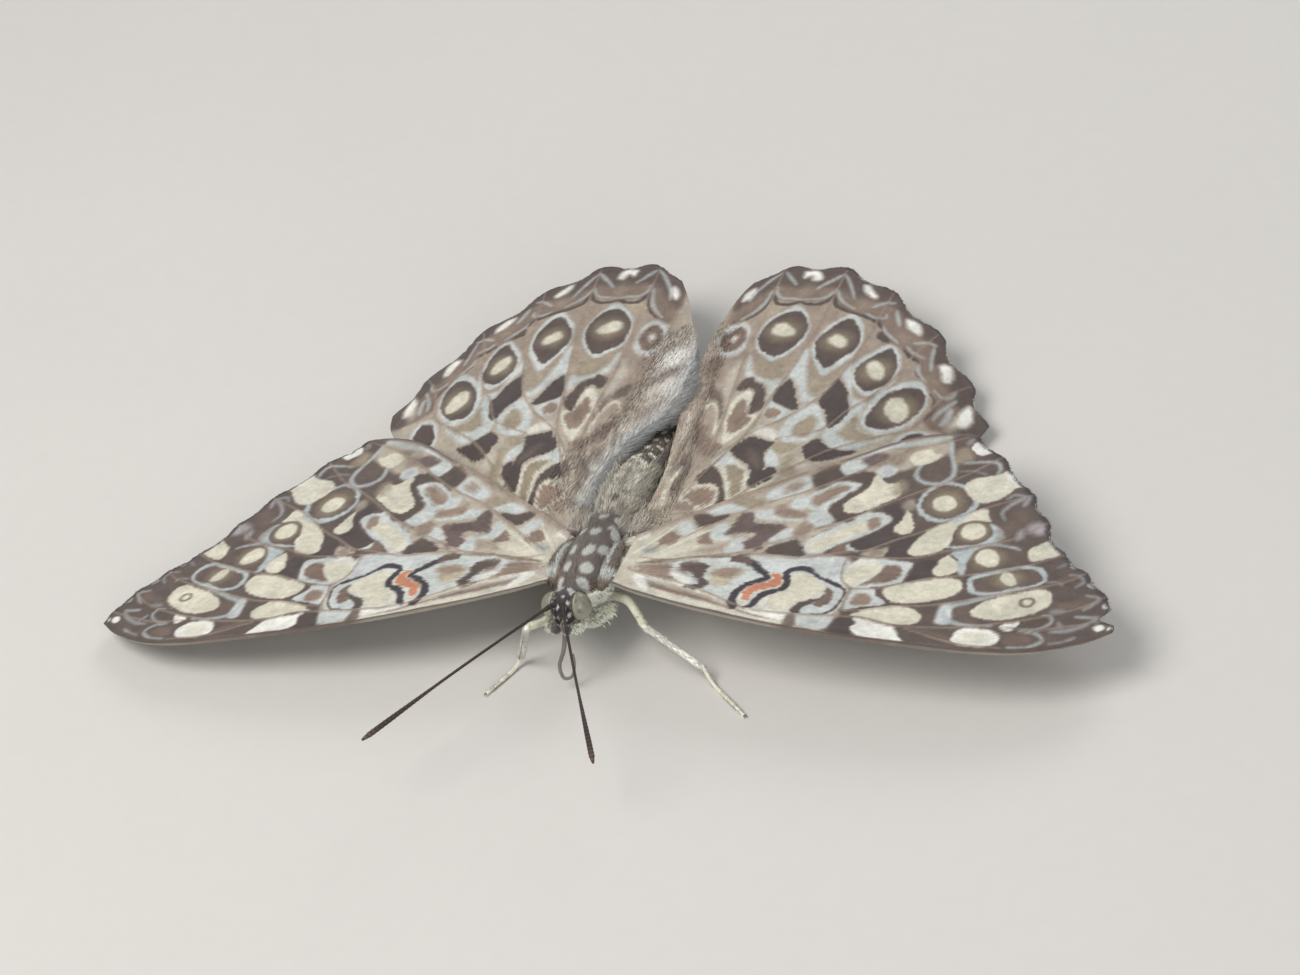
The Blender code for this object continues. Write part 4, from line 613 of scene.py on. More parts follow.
    F("dark", [(12.6, 26.8), (12.8, 26.1), (13.7, 25.9), (13.4, 26.5), (12.9, 27.2)], soft=0.12)
    S("dark", [(14.9, 25.5), (15.5, 24.9), (16.1, 24.6)], 0.4)
    S("dark", [(16.3, 23.4), (16.7, 22.8)], 0.3)
    S("deep", [(18.3, 18.2), (18.5, 19.6), (18.3, 20.8), (17.9, 21.4)], 0.3)
    S("dark", [(2.3, 27.1), (2.9, 27.8), (3.35, 28.9), (3.5, 30.2)], 0.26)
    for pts, w in (([(1.95, 27.2), (2.6, 28.1), (3.1, 29.2), (3.3, 30.8)], 0.34), ([(1.8, 29.5), (2.0, 30.6), (2.4, 31.6), (2.9, 32.6), (3.3, 33.2)], 0.42),
                   ([(3.6, 31.2), (3.8, 30.4), (4.3, 29.95), (5.0, 29.9), (5.9, 29.8)], 0.32), ([(6.1, 29.85), (7.0, 29.95), (7.7, 30.3), (8.15, 31.3)], 0.32),
                   ([(3.65, 33.3), (4.2, 32.6), (4.9, 31.7)], 0.42), ([(6.7, 31.3), (7.2, 32.1), (7.8, 32.9), (8.2, 33.35)], 0.42), ([(8.3, 33.3), (8.7, 32.8), (9.1, 32.0), (9.5, 31.2), (9.75, 30.5)], 0.36),
                   ([(8.35, 31.2), (8.7, 30.4), (9.3, 29.75), (10.1, 29.3)], 0.32), ([(11.2, 28.9), (12.0, 28.55), (12.6, 28.75), (12.6, 29.2)], 0.36), ([(11.4, 29.8), (12.0, 30.4), (12.8, 30.75)], 0.42),
                   ([(12.75, 27.7), (13.1, 27.1), (13.7, 26.6), (14.3, 26.1)], 0.34), ([(13.8, 28.2), (13.5, 29.0), (13.2, 29.9)], 0.42), ([(15.0, 26.0), (15.6, 25.4), (16.4, 25.1)], 0.36),
                   ([(15.4, 26.5), (16.2, 26.9), (16.9, 26.9)], 0.4), ([(16.3, 24.2), (16.5, 23.3), (17.2, 22.6)], 0.34), ([(17.2, 24.0), (17.0, 25.2), (16.8, 26.7)], 0.34),
                   ([(18.0, 21.9), (18.8, 21.3), (19.3, 21.7), (19.5, 22.4)], 0.34), ([(18.8, 18.6), (18.9, 19.4), (19.2, 20.3), (19.7, 21.4)], 0.36), ([(19.4, 18.3), (19.6, 19.4), (19.6, 20.4)], 0.5)):
        S("mist", pts, w, fade=0.92)
    O("olive", 5.9, 30.9, 0.5, 0.9, 0, soft=0.4, fade=0.6)
    O("olive", 10.5, 30.0, 0.5, 0.8, 20, soft=0.4, fade=0.6)
    O("olive", 14.5, 27.0, 0.5, 0.8, 35, soft=0.4, fade=0.6)
    O("olive", 17.7, 22.9, 0.5, 0.6, 35, soft=0.4, fade=0.6)
    for pts in ([(1.2, 29.3), (1.7, 29.6), (2.0, 30.6), (1.9, 31.4), (1.4, 30.9), (1.1, 30.2)], [(5.0, 33.5), (5.2, 32.5), (5.75, 32.9), (6.1, 32.2), (6.7, 32.4), (6.6, 33.3), (6.0, 33.8), (5.5, 33.7)],
                [(9.9, 32.4), (10.2, 31.5), (10.7, 31.0), (11.3, 30.7), (11.5, 31.2), (10.9, 31.9), (10.4, 32.5)], [(14.0, 29.3), (14.3, 28.3), (14.9, 27.7), (15.6, 27.4), (15.6, 28.2), (15.0, 29.1)],
                [(17.55, 24.9), (17.9, 24.0), (18.3, 23.0), (18.9, 23.1), (18.9, 24.3), (18.3, 25.3)], [(20.2, 18.7), (20.9, 18.6), (21.3, 19.6), (21.1, 20.8), (20.7, 21.6), (20.2, 20.7), (20.1, 19.8)]):
        F("white", grow(pts, 0.86), soft=0.2)
    O("cream", 20.2, 18.8, 0.4, 0.8, -10, soft=0.3, fade=0.7)


# ------------------------------------------------------------------ meshes
def unit(v):
    return v / np.maximum(np.linalg.norm(v, axis=-1, keepdims=True), 1e-9)


def linear(rgb):
    c = np.clip(np.asarray(rgb, float) / 255.0, 0, 1)
    return np.where(c <= 0.04045, c / 12.92, ((c + 0.055) / 1.055) ** 2.4)


def make(name, verts, faces, material, rgb=None, uv=None, replaces=()):
    """One piece from arrays: verts in mm, faces as lists of 3- or 4-corner index arrays."""
    faces = [f for f in faces if len(f)]
    loops = np.concatenate([f.ravel() for f in faces]).astype(np.int32)
    sizes = np.concatenate([np.full(len(f), f.shape[1]) for f in faces])
    starts = np.concatenate([[0], np.cumsum(sizes)[:-1]]).astype(np.int32)
    me = bpy.data.meshes.new(name)
    me.vertices.add(len(verts))
    me.vertices.foreach_set("co", place(verts).astype(np.float32).ravel())
    me.loops.add(len(loops))
    me.loops.foreach_set("vertex_index", loops)
    me.polygons.add(len(starts))
    me.polygons.foreach_set("loop_start", starts)
    me.polygons.foreach_set("use_smooth", np.ones(len(starts), bool))
    me.update(calc_edges=True)
    if rgb is not None:
        layer = me.color_attributes.new("tint", "FLOAT_COLOR", "POINT")
        rgba = np.ones((len(verts), 4), np.float32)
        rgba[:, :3] = linear(rgb)
        layer.data.foreach_set("color", rgba.ravel())
    if uv is not None:
        layer = me.uv_layers.new(name="OFBake")
        layer.data.foreach_set("uv", uv[loops].astype(np.float32).ravel())
    me.materials.append(material)
    ob = bpy.data.objects.new(name, me)
    bpy.context.scene.collection.objects.link(ob)
    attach(ob, "root")
    if replaces:
        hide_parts(*replaces)
    return ob


def join(parts):
    """Several (verts, faces, rgb) into one."""
    verts, faces, cols, base = [], {3: [], 4: []}, [], 0
    for v, fs, c in parts:
        verts.append(v)
        cols.append(np.broadcast_to(np.asarray(c, float), (len(v), 3)))
        for f in fs:
            if len(f):
                faces[f.shape[1]].append(f + base)
        base += len(v)
    return np.vstack(verts), [np.vstack(f) for f in faces.values() if f], np.vstack(cols)


def sweep(path, radii, around=14, flat=1.0):
    """A closed round tube along a path, with domed ends."""
    p, r = np.asarray(path, float), np.asarray(radii, float)
    t = unit(np.gradient(p, axis=0))
    side = np.zeros_like(p)
    s = np.cross(t[0], (0, 0, 1.0))
    if np.linalg.norm(s) < 0.05:
        s = np.array((1.0, 0, 0))
    for i in range(len(p)):
        s = s - t[i] * (s @ t[i])
        s = s / np.linalg.norm(s)
        side[i] = s
    up = np.cross(side, t)
    a = np.linspace(0, 2 * np.pi, around, endpoint=False)
    v = p[:, None] + r[:, None, None] * (np.cos(a)[None, :, None] * side[:, None] + flat * np.sin(a)[None, :, None] * up[:, None])
    n = len(p)
    i, j = np.meshgrid(np.arange(n - 1), np.arange(around), indexing="ij")
    k = (j + 1) % around
    quads = np.stack([(i + 1) * around + j, (i + 1) * around + k, i * around + k, i * around + j], -1).reshape(-1, 4)
    ends = np.vstack([p[0] - t[0] * r[0] * 0.5, p[-1] + t[-1] * r[-1] * 0.5])
    j = np.arange(around)
    k = (j + 1) % around
    m = n * around
    caps = np.vstack([np.stack([np.full(around, m), j, k], -1),
                      np.stack([np.full(around, m + 1), (n - 1) * around + k, (n - 1) * around + j], -1)])
    return np.vstack([v.reshape(-1, 3), ends]), [quads, caps]


THIN = 0.70     # share of the tufts kept in the jointed coats


def spikes(root, lean, normal, length, width, rgb, rootuv, lift=0.0, tip_light=1.12, root_shade=0.72, jointed=True):
    """Thin closed three-sided tufts, each with its own patch on the unwrap. Each tuft's colour is darkened at its root
    as painted shade among the tufts and lightened at its tip as a painted highlight.
    """
    n = len(root)
    length = np.broadcast_to(np.asarray(length, float), (n,))[:, None]
    width = np.broadcast_to(np.asarray(width, float), (n,))[:, None]
    d = unit(lean)
    s = unit(np.cross(d, normal))
    u = np.cross(s, d)
    corners = ((-1.0, 0.0), (1.0, 0.0), (0.0, 0.8))
    rows = [[root - d * length * 0.04 + width * 0.5 * (cx * s + cy * u) for cx, cy in corners]]
    if jointed:
        mid = root + d * length * 0.52 + u * lift * length
        rows.append([mid + width * 0.42 * (cx * s + cy * u) for cx, cy in corners])
    end = root + d * length - u * lift * length * (0.4 if jointed else -0.2)
    v = np.stack([c for row in rows for c in row] + [end], 1)
    k = v.shape[1]
    if jointed:
        tri = [(2, 1, 0), (0, 1, 4), (0, 4, 3), (1, 2, 5), (1, 5, 4), (2, 0, 3), (2, 3, 5), (3, 4, 6), (4, 5, 6), (5, 3, 6)]
        # root ring darkened (painted shade among the tufts), middle ring as is, tip lightened (painted highlight)
        shade = np.array([root_shade] * 3 + [1.0] * 3 + [tip_light])
        offs = np.array([(-1, -1), (1, -1), (0, -.6), (-.8, .2), (.8, .2), (0, .4), (0, 1)])
    else:
        tri = [(2, 1, 0), (0, 1, 3), (1, 2, 3), (2, 0, 3)]
        # root ring darkened a little (painted shade), tip lightened (painted highlight)
        shade = np.array([max(root_shade, 0.86)] * 3 + [tip_light])
        offs = np.array([(-1, -1), (1, -1), (0, -.6), (0, 1)])
    tri = np.array(tri)[None, :, ::-1] + (np.arange(n) * k)[:, None, None]
    cols = np.clip(np.asarray(rgb, float)[:, None, :] * shade[None, :, None], 0, 255)
    uv = np.clip(rootuv[:, None, :] + 0.0014 * offs[None], 0.0005, 0.9995)
    return v.reshape(-1, 3), [tri.reshape(-1, 3)], cols.reshape(-1, 3), uv.reshape(-1, 2)


# --------------------------------------------------------------- materials
def finish(name, rough=(0.55, 0.75), grain=9000.0, bump=0.25, vary=0.12, coarse=900.0, sheen=0.0, base=None,
           transmission=0.0, cells=0.0, rings=0.0, subsurface=0.0, coat=0.0):
    """A procedural finish: the piece's own tint, broken up by noise, with bump and uneven roughness."""
    m = bpy.data.materials.new(name)
    m.use_nodes = True
    nt = m.node_tree
    b = nt.nodes["Principled BSDF"]
    new, link = nt.nodes.new, nt.links.new
    where = new("ShaderNodeTexCoord").outputs["Object"]

    def noise(scale, detail):
        t = new("ShaderNodeTexNoise")
        t.inputs["Scale"].default_value = scale
        t.inputs["Detail"].default_value = detail
        link(where, t.inputs["Vector"])
        return t.outputs["Fac"]
    fine, broad = noise(grain, 3.0), noise(coarse, 4.0)
    both = new("ShaderNodeMath")
    both.operation = "ADD"
    link(fine, both.inputs[0])
    link(broad, both.inputs[1])
    spread = new("ShaderNodeMapRange")
    for key, val in (("From Min", 0.6), ("From Max", 1.4), ("To Min", 1.0 - vary), ("To Max", 1.0 + vary)):
        spread.inputs[key].default_value = val
    link(both.outputs[0], spread.inputs["Value"])
    scale = new("ShaderNodeVectorMath")
    scale.operation = "SCALE"
    if base is None:
        tint = new("ShaderNodeVertexColor")
        tint.layer_name = "tint"
        link(tint.outputs["Color"], scale.inputs[0])
    else:
        c = new("ShaderNodeRGB")
        c.outputs[0].default_value = (*linear(base), 1)
        link(c.outputs[0], scale.inputs[0])
    link(spread.outputs[0], scale.inputs["Scale"])
    link(scale.outputs[0], b.inputs["Base Color"])
    rr = new("ShaderNodeMapRange")
    for key, val in (("From Min", 0.3), ("From Max", 0.7), ("To Min", rough[0]), ("To Max", rough[1])):
        rr.inputs[key].default_value = val
    link(broad, rr.inputs["Value"])
    link(rr.outputs[0], b.inputs["Roughness"])
    height = fine
    if cells:
        vo = new("ShaderNodeTexVoronoi")
        vo.inputs["Scale"].default_value = cells
        link(where, vo.inputs["Vector"])
        mix = new("ShaderNodeMath")
        mix.operation = "SUBTRACT"
        link(fine, mix.inputs[0])
        link(vo.outputs["Distance"], mix.inputs[1])
        height = mix.outputs[0]
    bp = new("ShaderNodeBump")
    bp.inputs["Strength"].default_value = bump
    bp.inputs["Distance"].default_value = 0.00004
    link(height, bp.inputs["Height"])
    link(bp.outputs[0], b.inputs["Normal"])
    if sheen:
        b.inputs["Sheen Weight"].default_value = sheen
        b.inputs["Sheen Roughness"].default_value = 0.45
    if transmission:
        b.inputs["Transmission Weight"].default_value = transmission
    if subsurface:
        b.inputs["Subsurface Weight"].default_value = subsurface
        b.inputs["Subsurface Scale"].default_value = 0.0004
    if coat:
        b.inputs["Coat Weight"].default_value = coat
        b.inputs["Coat Roughness"].default_value = 0.12
    b.inputs["Specular IOR Level"].default_value = 0.3
    return m


SCALES = finish("wing_scales", (0.62, 0.82), 11000.0, 0.5, 0.13, 1500.0, sheen=0.15, cells=9000.0)
SKIN = finish("body_skin", (0.7, 0.9), 7000.0, 0.6, 0.2, 1200.0)
HAIR = finish("body_hair", (0.5, 0.7), 3000.0, 0.15, 0.14, 700.0, sheen=0.25)
FRINGE = finish("wing_fringe", (0.55, 0.75), 3000.0, 0.15, 0.12, 900.0, sheen=0.1)
EYES = finish("eye_facets", (0.24, 0.36), 5000.0, 0.35, 0.12, 1300.0, cells=14000.0, coat=0.35)
HORN = finish("feeler_horn", (0.4, 0.6), 12000.0, 0.5, 0.2, 1500.0, cells=9000.0)
LEGS = finish("leg_scales", (0.55, 0.8), 9000.0, 0.6, 0.14, 1400.0, cells=11000.0)
TONGUE = finish("tongue_skin", (0.3, 0.5), 9000.0, 0.5, 0.15, 1800.0, subsurface=0.2, transmission=0.25)


# ------------------------------------------------------------------- wings
RES = (60, 40) if QUICK else (112, 73)
TINTS = {}


def wing_mesh(kind, side):
    """Flat plan, height field and colours of one wing."""
    N, M = RES
    nu, nv = 3 * N, 3 * M
    table = FORE if kind == "fore" else HIND
    inner = table["inner"] if kind == "fore" else table["inner"][side]
    outer = margin(table["vein_ends"], table["notch"], nv + 1)
    tan = unit(np.gradient(outer, axis=0))
    arc = np.concatenate([[0], np.cumsum(np.linalg.norm(np.diff(outer, axis=0), axis=1))])
    inward = np.stack([-tan[:, 1], tan[:, 0]], 1)
    wobble = 0.06 * soft_noise(arc * 2.2, arc * 0 + side * 3.1, 5) + 0.035 * soft_noise(arc * 6.0, arc * 0 + 1.7, 9)
    ends = np.clip(np.minimum(arc, arc[-1] - arc) / 1.0, 0, 1)
    outer = outer + inward * (wobble * ends)[:, None]
    if kind == "fore" and side > 0:
        at = arc[np.argmin(np.hypot(outer[:, 0] - 38.1, outer[:, 1] + 4.75))]
        outer = outer + inward * (1.15 * np.exp(-np.abs((arc - at) / 0.62) ** 3))[:, None]
    flat = patch(table["costa"], inner, outer, nu, nv)
    X, Y = flat[..., 0].ravel(), flat[..., 1].ravel()
    p = Plate(X, Y, "stone", (7 if kind == "fore" else 11) + side, (2.5, -3.0) if kind == "fore" else (3.0, 1.0))
    (paint_fore(p) if kind == "fore" else paint_hind(p, side < 0))
    edge = np.linalg.norm(flat - flat[-1:], axis=-1).ravel()
    front = np.linalg.norm(flat - flat[:, :1], axis=-1).ravel()
    back = np.linalg.norm(flat - flat[:, -1:], axis=-1).ravel()
    every = np.arange(len(X))
    lobes = np.tile(np.interp(arc, arc, np.linalg.norm(outer - margin(table["vein_ends"], [0] * len(table["notch"]), nv + 1), axis=1)), (nu + 1, 1)).ravel()
    if kind == "fore":
        p.lay(every, 0.5 - (edge - 0.34 + 1.4 * p.rag + 0.5 * lobes) / 0.3, "black", 0.85)
        p.lay(every, 0.5 - (front - np.interp(X, [2, 8, 16, 24, 34, 39], [0.16, 0.2, 0.28, 0.3, 0.5, 0.4]) + 0.5 * p.rag) / 0.16, "dark", 0.9)
        p.lay(every, (0.5 - (back - 0.28) / 0.3) * (X > 15), "plum", 0.85)
        p.lay(every, (0.5 - (back - 0.5) / 0.5) * (X < 15.5), "taupe", 0.6)
    else:
        p.lay(every, 0.5 - (edge - 0.18 + 1.2 * p.rag + 0.5 * lobes) / 0.3, "black", 0.8)
    relief = np.zeros(len(X))
    veins = FORE_VEINS if kind == "fore" else HIND_VEINS
    for pts in veins.values():
        p.stroke("vein", pts, 0.2, soft=0.07, rag=0.3, fade=0.72, thin=0.6)
        path = rounded_loop(pts, closed=False)
        idx = p.near(path, 0.6)
        if len(idx):
            d, t = p.dist(idx, path)
            r = (0.075 + 0.05 * (1 - t)) * np.exp(-(d / 0.13) ** 2)
            relief[idx] = np.maximum(relief[idx], r)
    if kind == "fore":
        relief += 0.16 * np.exp(-(front / 0.22) ** 2) * np.clip((39 - X) / 12, 0.25, 1)
    # the membrane sags between the veins and ripples a little
    relief += 0.05 * soft_noise(X * 0.55, Y * 0.55, 31) * np.clip(edge / 2, 0, 1) + 0.012 * soft_noise(X * 2.6, Y * 2.6, 33)
    dust = soft_noise(X * 8.5, Y * 8.5, 41) * 0.5 + soft_noise(X * 4.1, Y * 4.1, 43) * 0.5
    shade = 1.0 + 0.06 * p.comb + 0.05 * p.slow + 0.07 * dust
    rgb = np.clip((p.rgb * 0.86 + np.array((18, 15, 12.0))) * shade[:, None], 0, 255)
    return flat, relief.reshape(nu + 1, nv + 1), rgb, edge, arc, outer


def paint_under(p, kind):
    """The underside: pale, with the upper side's big patches showing through."""
    F, O, S = p.fill, p.oval, p.stroke
    if kind == "fore":
        F("umber", [(16, -9), (26, -9.7), (36, -8), (38.6, -5), (34, 1), (30, 7), (26, 12), (22.6, 13.4), (21, 9), (20, 5), (17, 2), (18.6, -2), (19, -6)], soft=0.6, fade=0.85)
        for pts in ([(20.5, -6.9), (24.6, -7.5), (25.3, -6.5), (23.8, -5.7), (21.3, -6.3)], [(22.1, -4.5), (24.8, -5.1), (27.3, -3.4), (26.3, -2.3), (22.8, -3.4)],
                    [(28.5, -5.9), (31.6, -5.9), (33.6, -3.7), (32.6, -2.7), (29.2, -4.5)], [(22.7, 0), (24.8, .4), (26.3, 3.8), (27, 5), (24, 3)],
                    [(16.7, 4.5), (18.4, 4.2), (20.4, 6.3), (19.6, 7.6), (18, 8)], [(20.9, -8.3), (24.6, -9.3), (23.7, -7.8)], [(28, -8.5), (31, -8.5), (30.4, -7.2), (28.2, -7.4)],
                    [(24.6, 7.6), (26.6, 5.9), (28.8, 8.1), (27.4, 9.8)]):
            F("cream", pts, soft=0.25)
        for cx, cy in ((30.2, -2.0), (28.3, 0.0), (26.5, 2.7), (23.8, 5.5), (32, -4.2)):
            O("deep", cx, cy, 0.9, 0.9)
            O("white", cx, cy, 0.5, 0.5)
        S("dark", [(12.2, -6.4), (11.8, -5), (13.2, -3.6), (12.4, -2.4)], 0.4)
        S("brick", [(12.6, -6.2), (12.7, -5), (14.2, -4), (13.8, -2.9)], 0.5)
    else:
        F("umber", [(1, 30), (3.4, 31), (8.2, 31.4), (12.6, 29.6), (17, 25.6), (19, 21), (22.3, 18.5), (22, 22), (17, 28.9), (12.5, 32.6), (8, 34.8), (3.8, 34.6)], soft=0.5, fade=0.7)
        for cx, cy, r in ((2.2, 24.6, .7), (5.7, 25.6, 1.0), (10.1, 25.0, .95), (13.7, 22.5, .9), (16.2, 18.7, 1.1), (18.3, 15.4, 1.0)):
            O("deep", cx, cy, r, r * 1.25)
            O("mist", cx, cy, r * 0.72, r * 0.95)
            O("deep", cx, cy, r * 0.4, r * 0.5)


def wing_piece(kind, side):
    N, M = RES
    nu, nv = 3 * N, 3 * M
    flat, relief, rgb, edge, arc, outer = wing_mesh(kind, side)
    world = (fore_world if kind == "fore" else hind_world)(flat, side)
    top = world.copy()
    thin = 0.07 * np.clip(np.linalg.norm(flat - flat[-1:], axis=-1) / 0.5, 0.35, 1)
    top[..., 2] += thin + relief
    under = world[::3, ::3].copy()
    under[..., 2] -= thin[::3, ::3]
    uf = flat[::3, ::3]
    q = Plate(uf[..., 0].ravel(), uf[..., 1].ravel(), "stone", 3, (2.5, -3.0))
    paint_under(q, kind)
    for pts in (FORE_VEINS if kind == "fore" else HIND_VEINS).values():
        q.stroke("taupe", pts, 0.3, fade=0.6)
    T = lambda i, j: i * (nv + 1) + j
    off = (nu + 1) * (nv + 1)
    B = lambda i, j: off + i * (M + 1) + j
    i, j = np.meshgrid(np.arange(nu), np.arange(nv), indexing="ij")
    quads = np.stack([T(i, j), T(i + 1, j), T(i + 1, j + 1), T(i, j + 1)], -1).reshape(-1, 4)
    i, j = np.meshgrid(np.arange(N), np.arange(M), indexing="ij")
    below = np.stack([B(i, j), B(i, j + 1), B(i + 1, j + 1), B(i + 1, j)], -1).reshape(-1, 4)

    def band(t, b):
        """Close the rim between a fine edge t and a coarse edge b."""
        t0, t1, t2, t3 = t[:-1:3], t[1::3], t[2::3], t[3::3]
        return np.vstack([np.stack(x, -1) for x in ((t0, b[:-1], t1), (t1, b[:-1], b[1:]), (t1, b[1:], t2), (t2, b[1:], t3))])
    a, c = np.arange(nu + 1), np.arange(nv + 1)
    ac, cc = np.arange(N + 1), np.arange(M + 1)
    rim = np.vstack([band(T(a, 0), B(ac, 0)), band(T(nu, c), B(N, cc)), band(T(a, nv)[::-1], B(ac, M)[::-1]), band(T(0, c)[::-1], B(0, cc)[::-1])])
    if side < 0:
        quads, below, rim = quads[:, ::-1], below[:, ::-1], rim[:, ::-1]
    name = {"fore": "forewing_", "hind": "hindwing_"}[kind] + ("left" if side > 0 else "right")
    verts = np.vstack([top.reshape(-1, 3), under.reshape(-1, 3)])
    make(name + "_scaled", verts, [quads, below, rim], SCALES, np.vstack([rgb, q.rgb]), replaces=(name,))
    TINTS[kind, side] = (flat, top, rgb.reshape(nu + 1, nv + 1, 3), thin)


for _side in (+1, -1):
    wing_piece("fore", _side)
    wing_piece("hind", _side)


# ------------------------------------------------------------- body's skin
# Stations along the body: Y, half width, axis height, height above and below the axis.
STATIONS = np.array([
    (-8.38, 0.30, 4.95, 0.30, 0.30),
    (-8.10, 0.66, 4.98, 0.80, 0.75),
    (-7.50, 0.86, 5.05, 1.15, 1.10),
    (-6.90, 0.90, 5.10, 1.28, 1.25),
    (-6.20, 0.92, 5.10, 1.15, 1.15),
    (-5.55, 1.00, 4.95, 1.15, 1.30),
    (-5.00, 1.55, 4.75, 1.60, 2.05),
    (-4.30, 1.95, 4.50, 2.10, 2.60),
    (-3.00, 2.06, 4.35, 2.55, 2.95),
    (-1.50, 2.14, 4.30, 2.70, 2.90),
    (0.00, 2.04, 4.30, 2.50, 2.60),
    (1.50, 1.80, 4.30, 2.05, 2.10),
    (2.60, 1.60, 4.30, 1.72, 1.75),
    (4.00, 1.55, 4.30, 1.60, 1.60),
    (8.00, 1.50, 4.15, 1.50, 1.45),
    (10.0, 1.42, 3.90, 1.42, 1.32),
    (12.0, 1.25, 3.55, 1.25, 1.15),
    (14.6, 0.80, 3.15, 0.85, 0.75),
    (16.0, 0.28, 3.00, 0.30, 0.28),
])
def axis_x(y):
    """The body's axis stands a little to one side of the middle of the wings."""
    return np.interp(y, [-6.0, -4.5, 3.0, 6.0, 10.0, 13.0, 16.0], [-0.13, -0.12, -0.15, -0.38, -0.38, -0.25, -0.12])


def squareness(y):
    """The back of the thorax is flatter than an ellipse."""
    return np.interp(y, [-5.5, -4.6, 1.0, 3.0], [1.0, 0.80, 0.80, 1.0])


DENSE = smooth_path([tuple(r) for r in STATIONS], 600)
# how deep the skin lies under the tips of the coat
DEPTH_Y = (-8.4, -8.0, -6.2, -5.4, -4.6, -3.0, 0.5, 1.8, 3.4, 5.0, 14.5, 16.0)
DEPTH = (0.03, 0.10, 0.12, 0.25, 0.42, 0.50, 0.48, 0.32, 0.30, 0.15, 0.10, 0.03)


def body_surface(y, a):
    """Point of the skin at station y and angle a round the axis (0 is the left side, a quarter turn is the top)."""
    w, zc, up, down = (np.interp(y, DENSE[:, 0], DENSE[:, k]) for k in range(1, 5))
    dip = np.interp(y, DEPTH_Y, DEPTH)
    # the abdomen is ringed, and narrows a little at each joint
    ring = np.where((y > 3.4) & (y < 15.6), 0.055 * np.abs(np.sin((y - 3.4) / 1.52 * np.pi)) ** 0.6 - 0.03, 0.0)
    s, c = np.sin(a), np.cos(a)
    e = np.where(s > 0, squareness(y), 1.0)
    c, s = np.sign(c) * np.abs(c) ** e, np.where(s > 0, np.abs(s) ** e, s)
    h = np.where(s > 0, up, down - np.interp(y, [-6.2, -5.2, -3.2, -1.5], [0.0, 0.45, 0.45, 0.0])) - dip + ring
    x = axis_x(y) + (w - dip + ring) * c
    return np.stack([x, y + 0 * a, zc + h * s], -1)


def body_normal(y, a):
    e = 0.02
    du = body_surface(y + e, a) - body_surface(y - e, a)
    dv = body_surface(y, a + 0.02) - body_surface(y, a - 0.02)
    return unit(np.cross(du, dv))


def blob(P, x, y, rx, ry, turn_by=0.0, soft=0.25):
    """Cover of a soft oval seen from above."""
    c, s = math.cos(math.radians(turn_by)), math.sin(math.radians(turn_by))
    u, v = P[:, 0] - x, P[:, 1] - y
    q = np.hypot((u * c + v * s) / rx, (-u * s + v * c) / ry)
    return np.clip((1 - q) / soft + 0.5, 0, 1)


# pale spots on the thorax: X, Y, half width, half length, turn
THORAX_SPOTS = ((0.50, -5.15, 0.42, 0.36, 10), (-1.05, -4.95, 0.28, 0.28, -10), (0.49, -4.02, 0.43, 0.48, -15), (-0.88, -3.88, 0.28, 0.44, 0),
                (0.20, -2.42, 0.38, 0.60, -22), (-0.92, -2.30, 0.25, 0.48, -8), (1.03, -1.95, 0.27, 0.52, -20), (-0.03, -0.25, 0.40, 0.52, 0),
                (-1.00, -0.15, 0.27, 0.44, -8), (1.10, 0.05, 0.25, 0.64, 12), (0.72, 0.62, 0.20, 0.34, -20), (-0.27, 1.95, 0.34, 0.32, 35), (0.84, 1.72, 0.30, 0.46, 10))


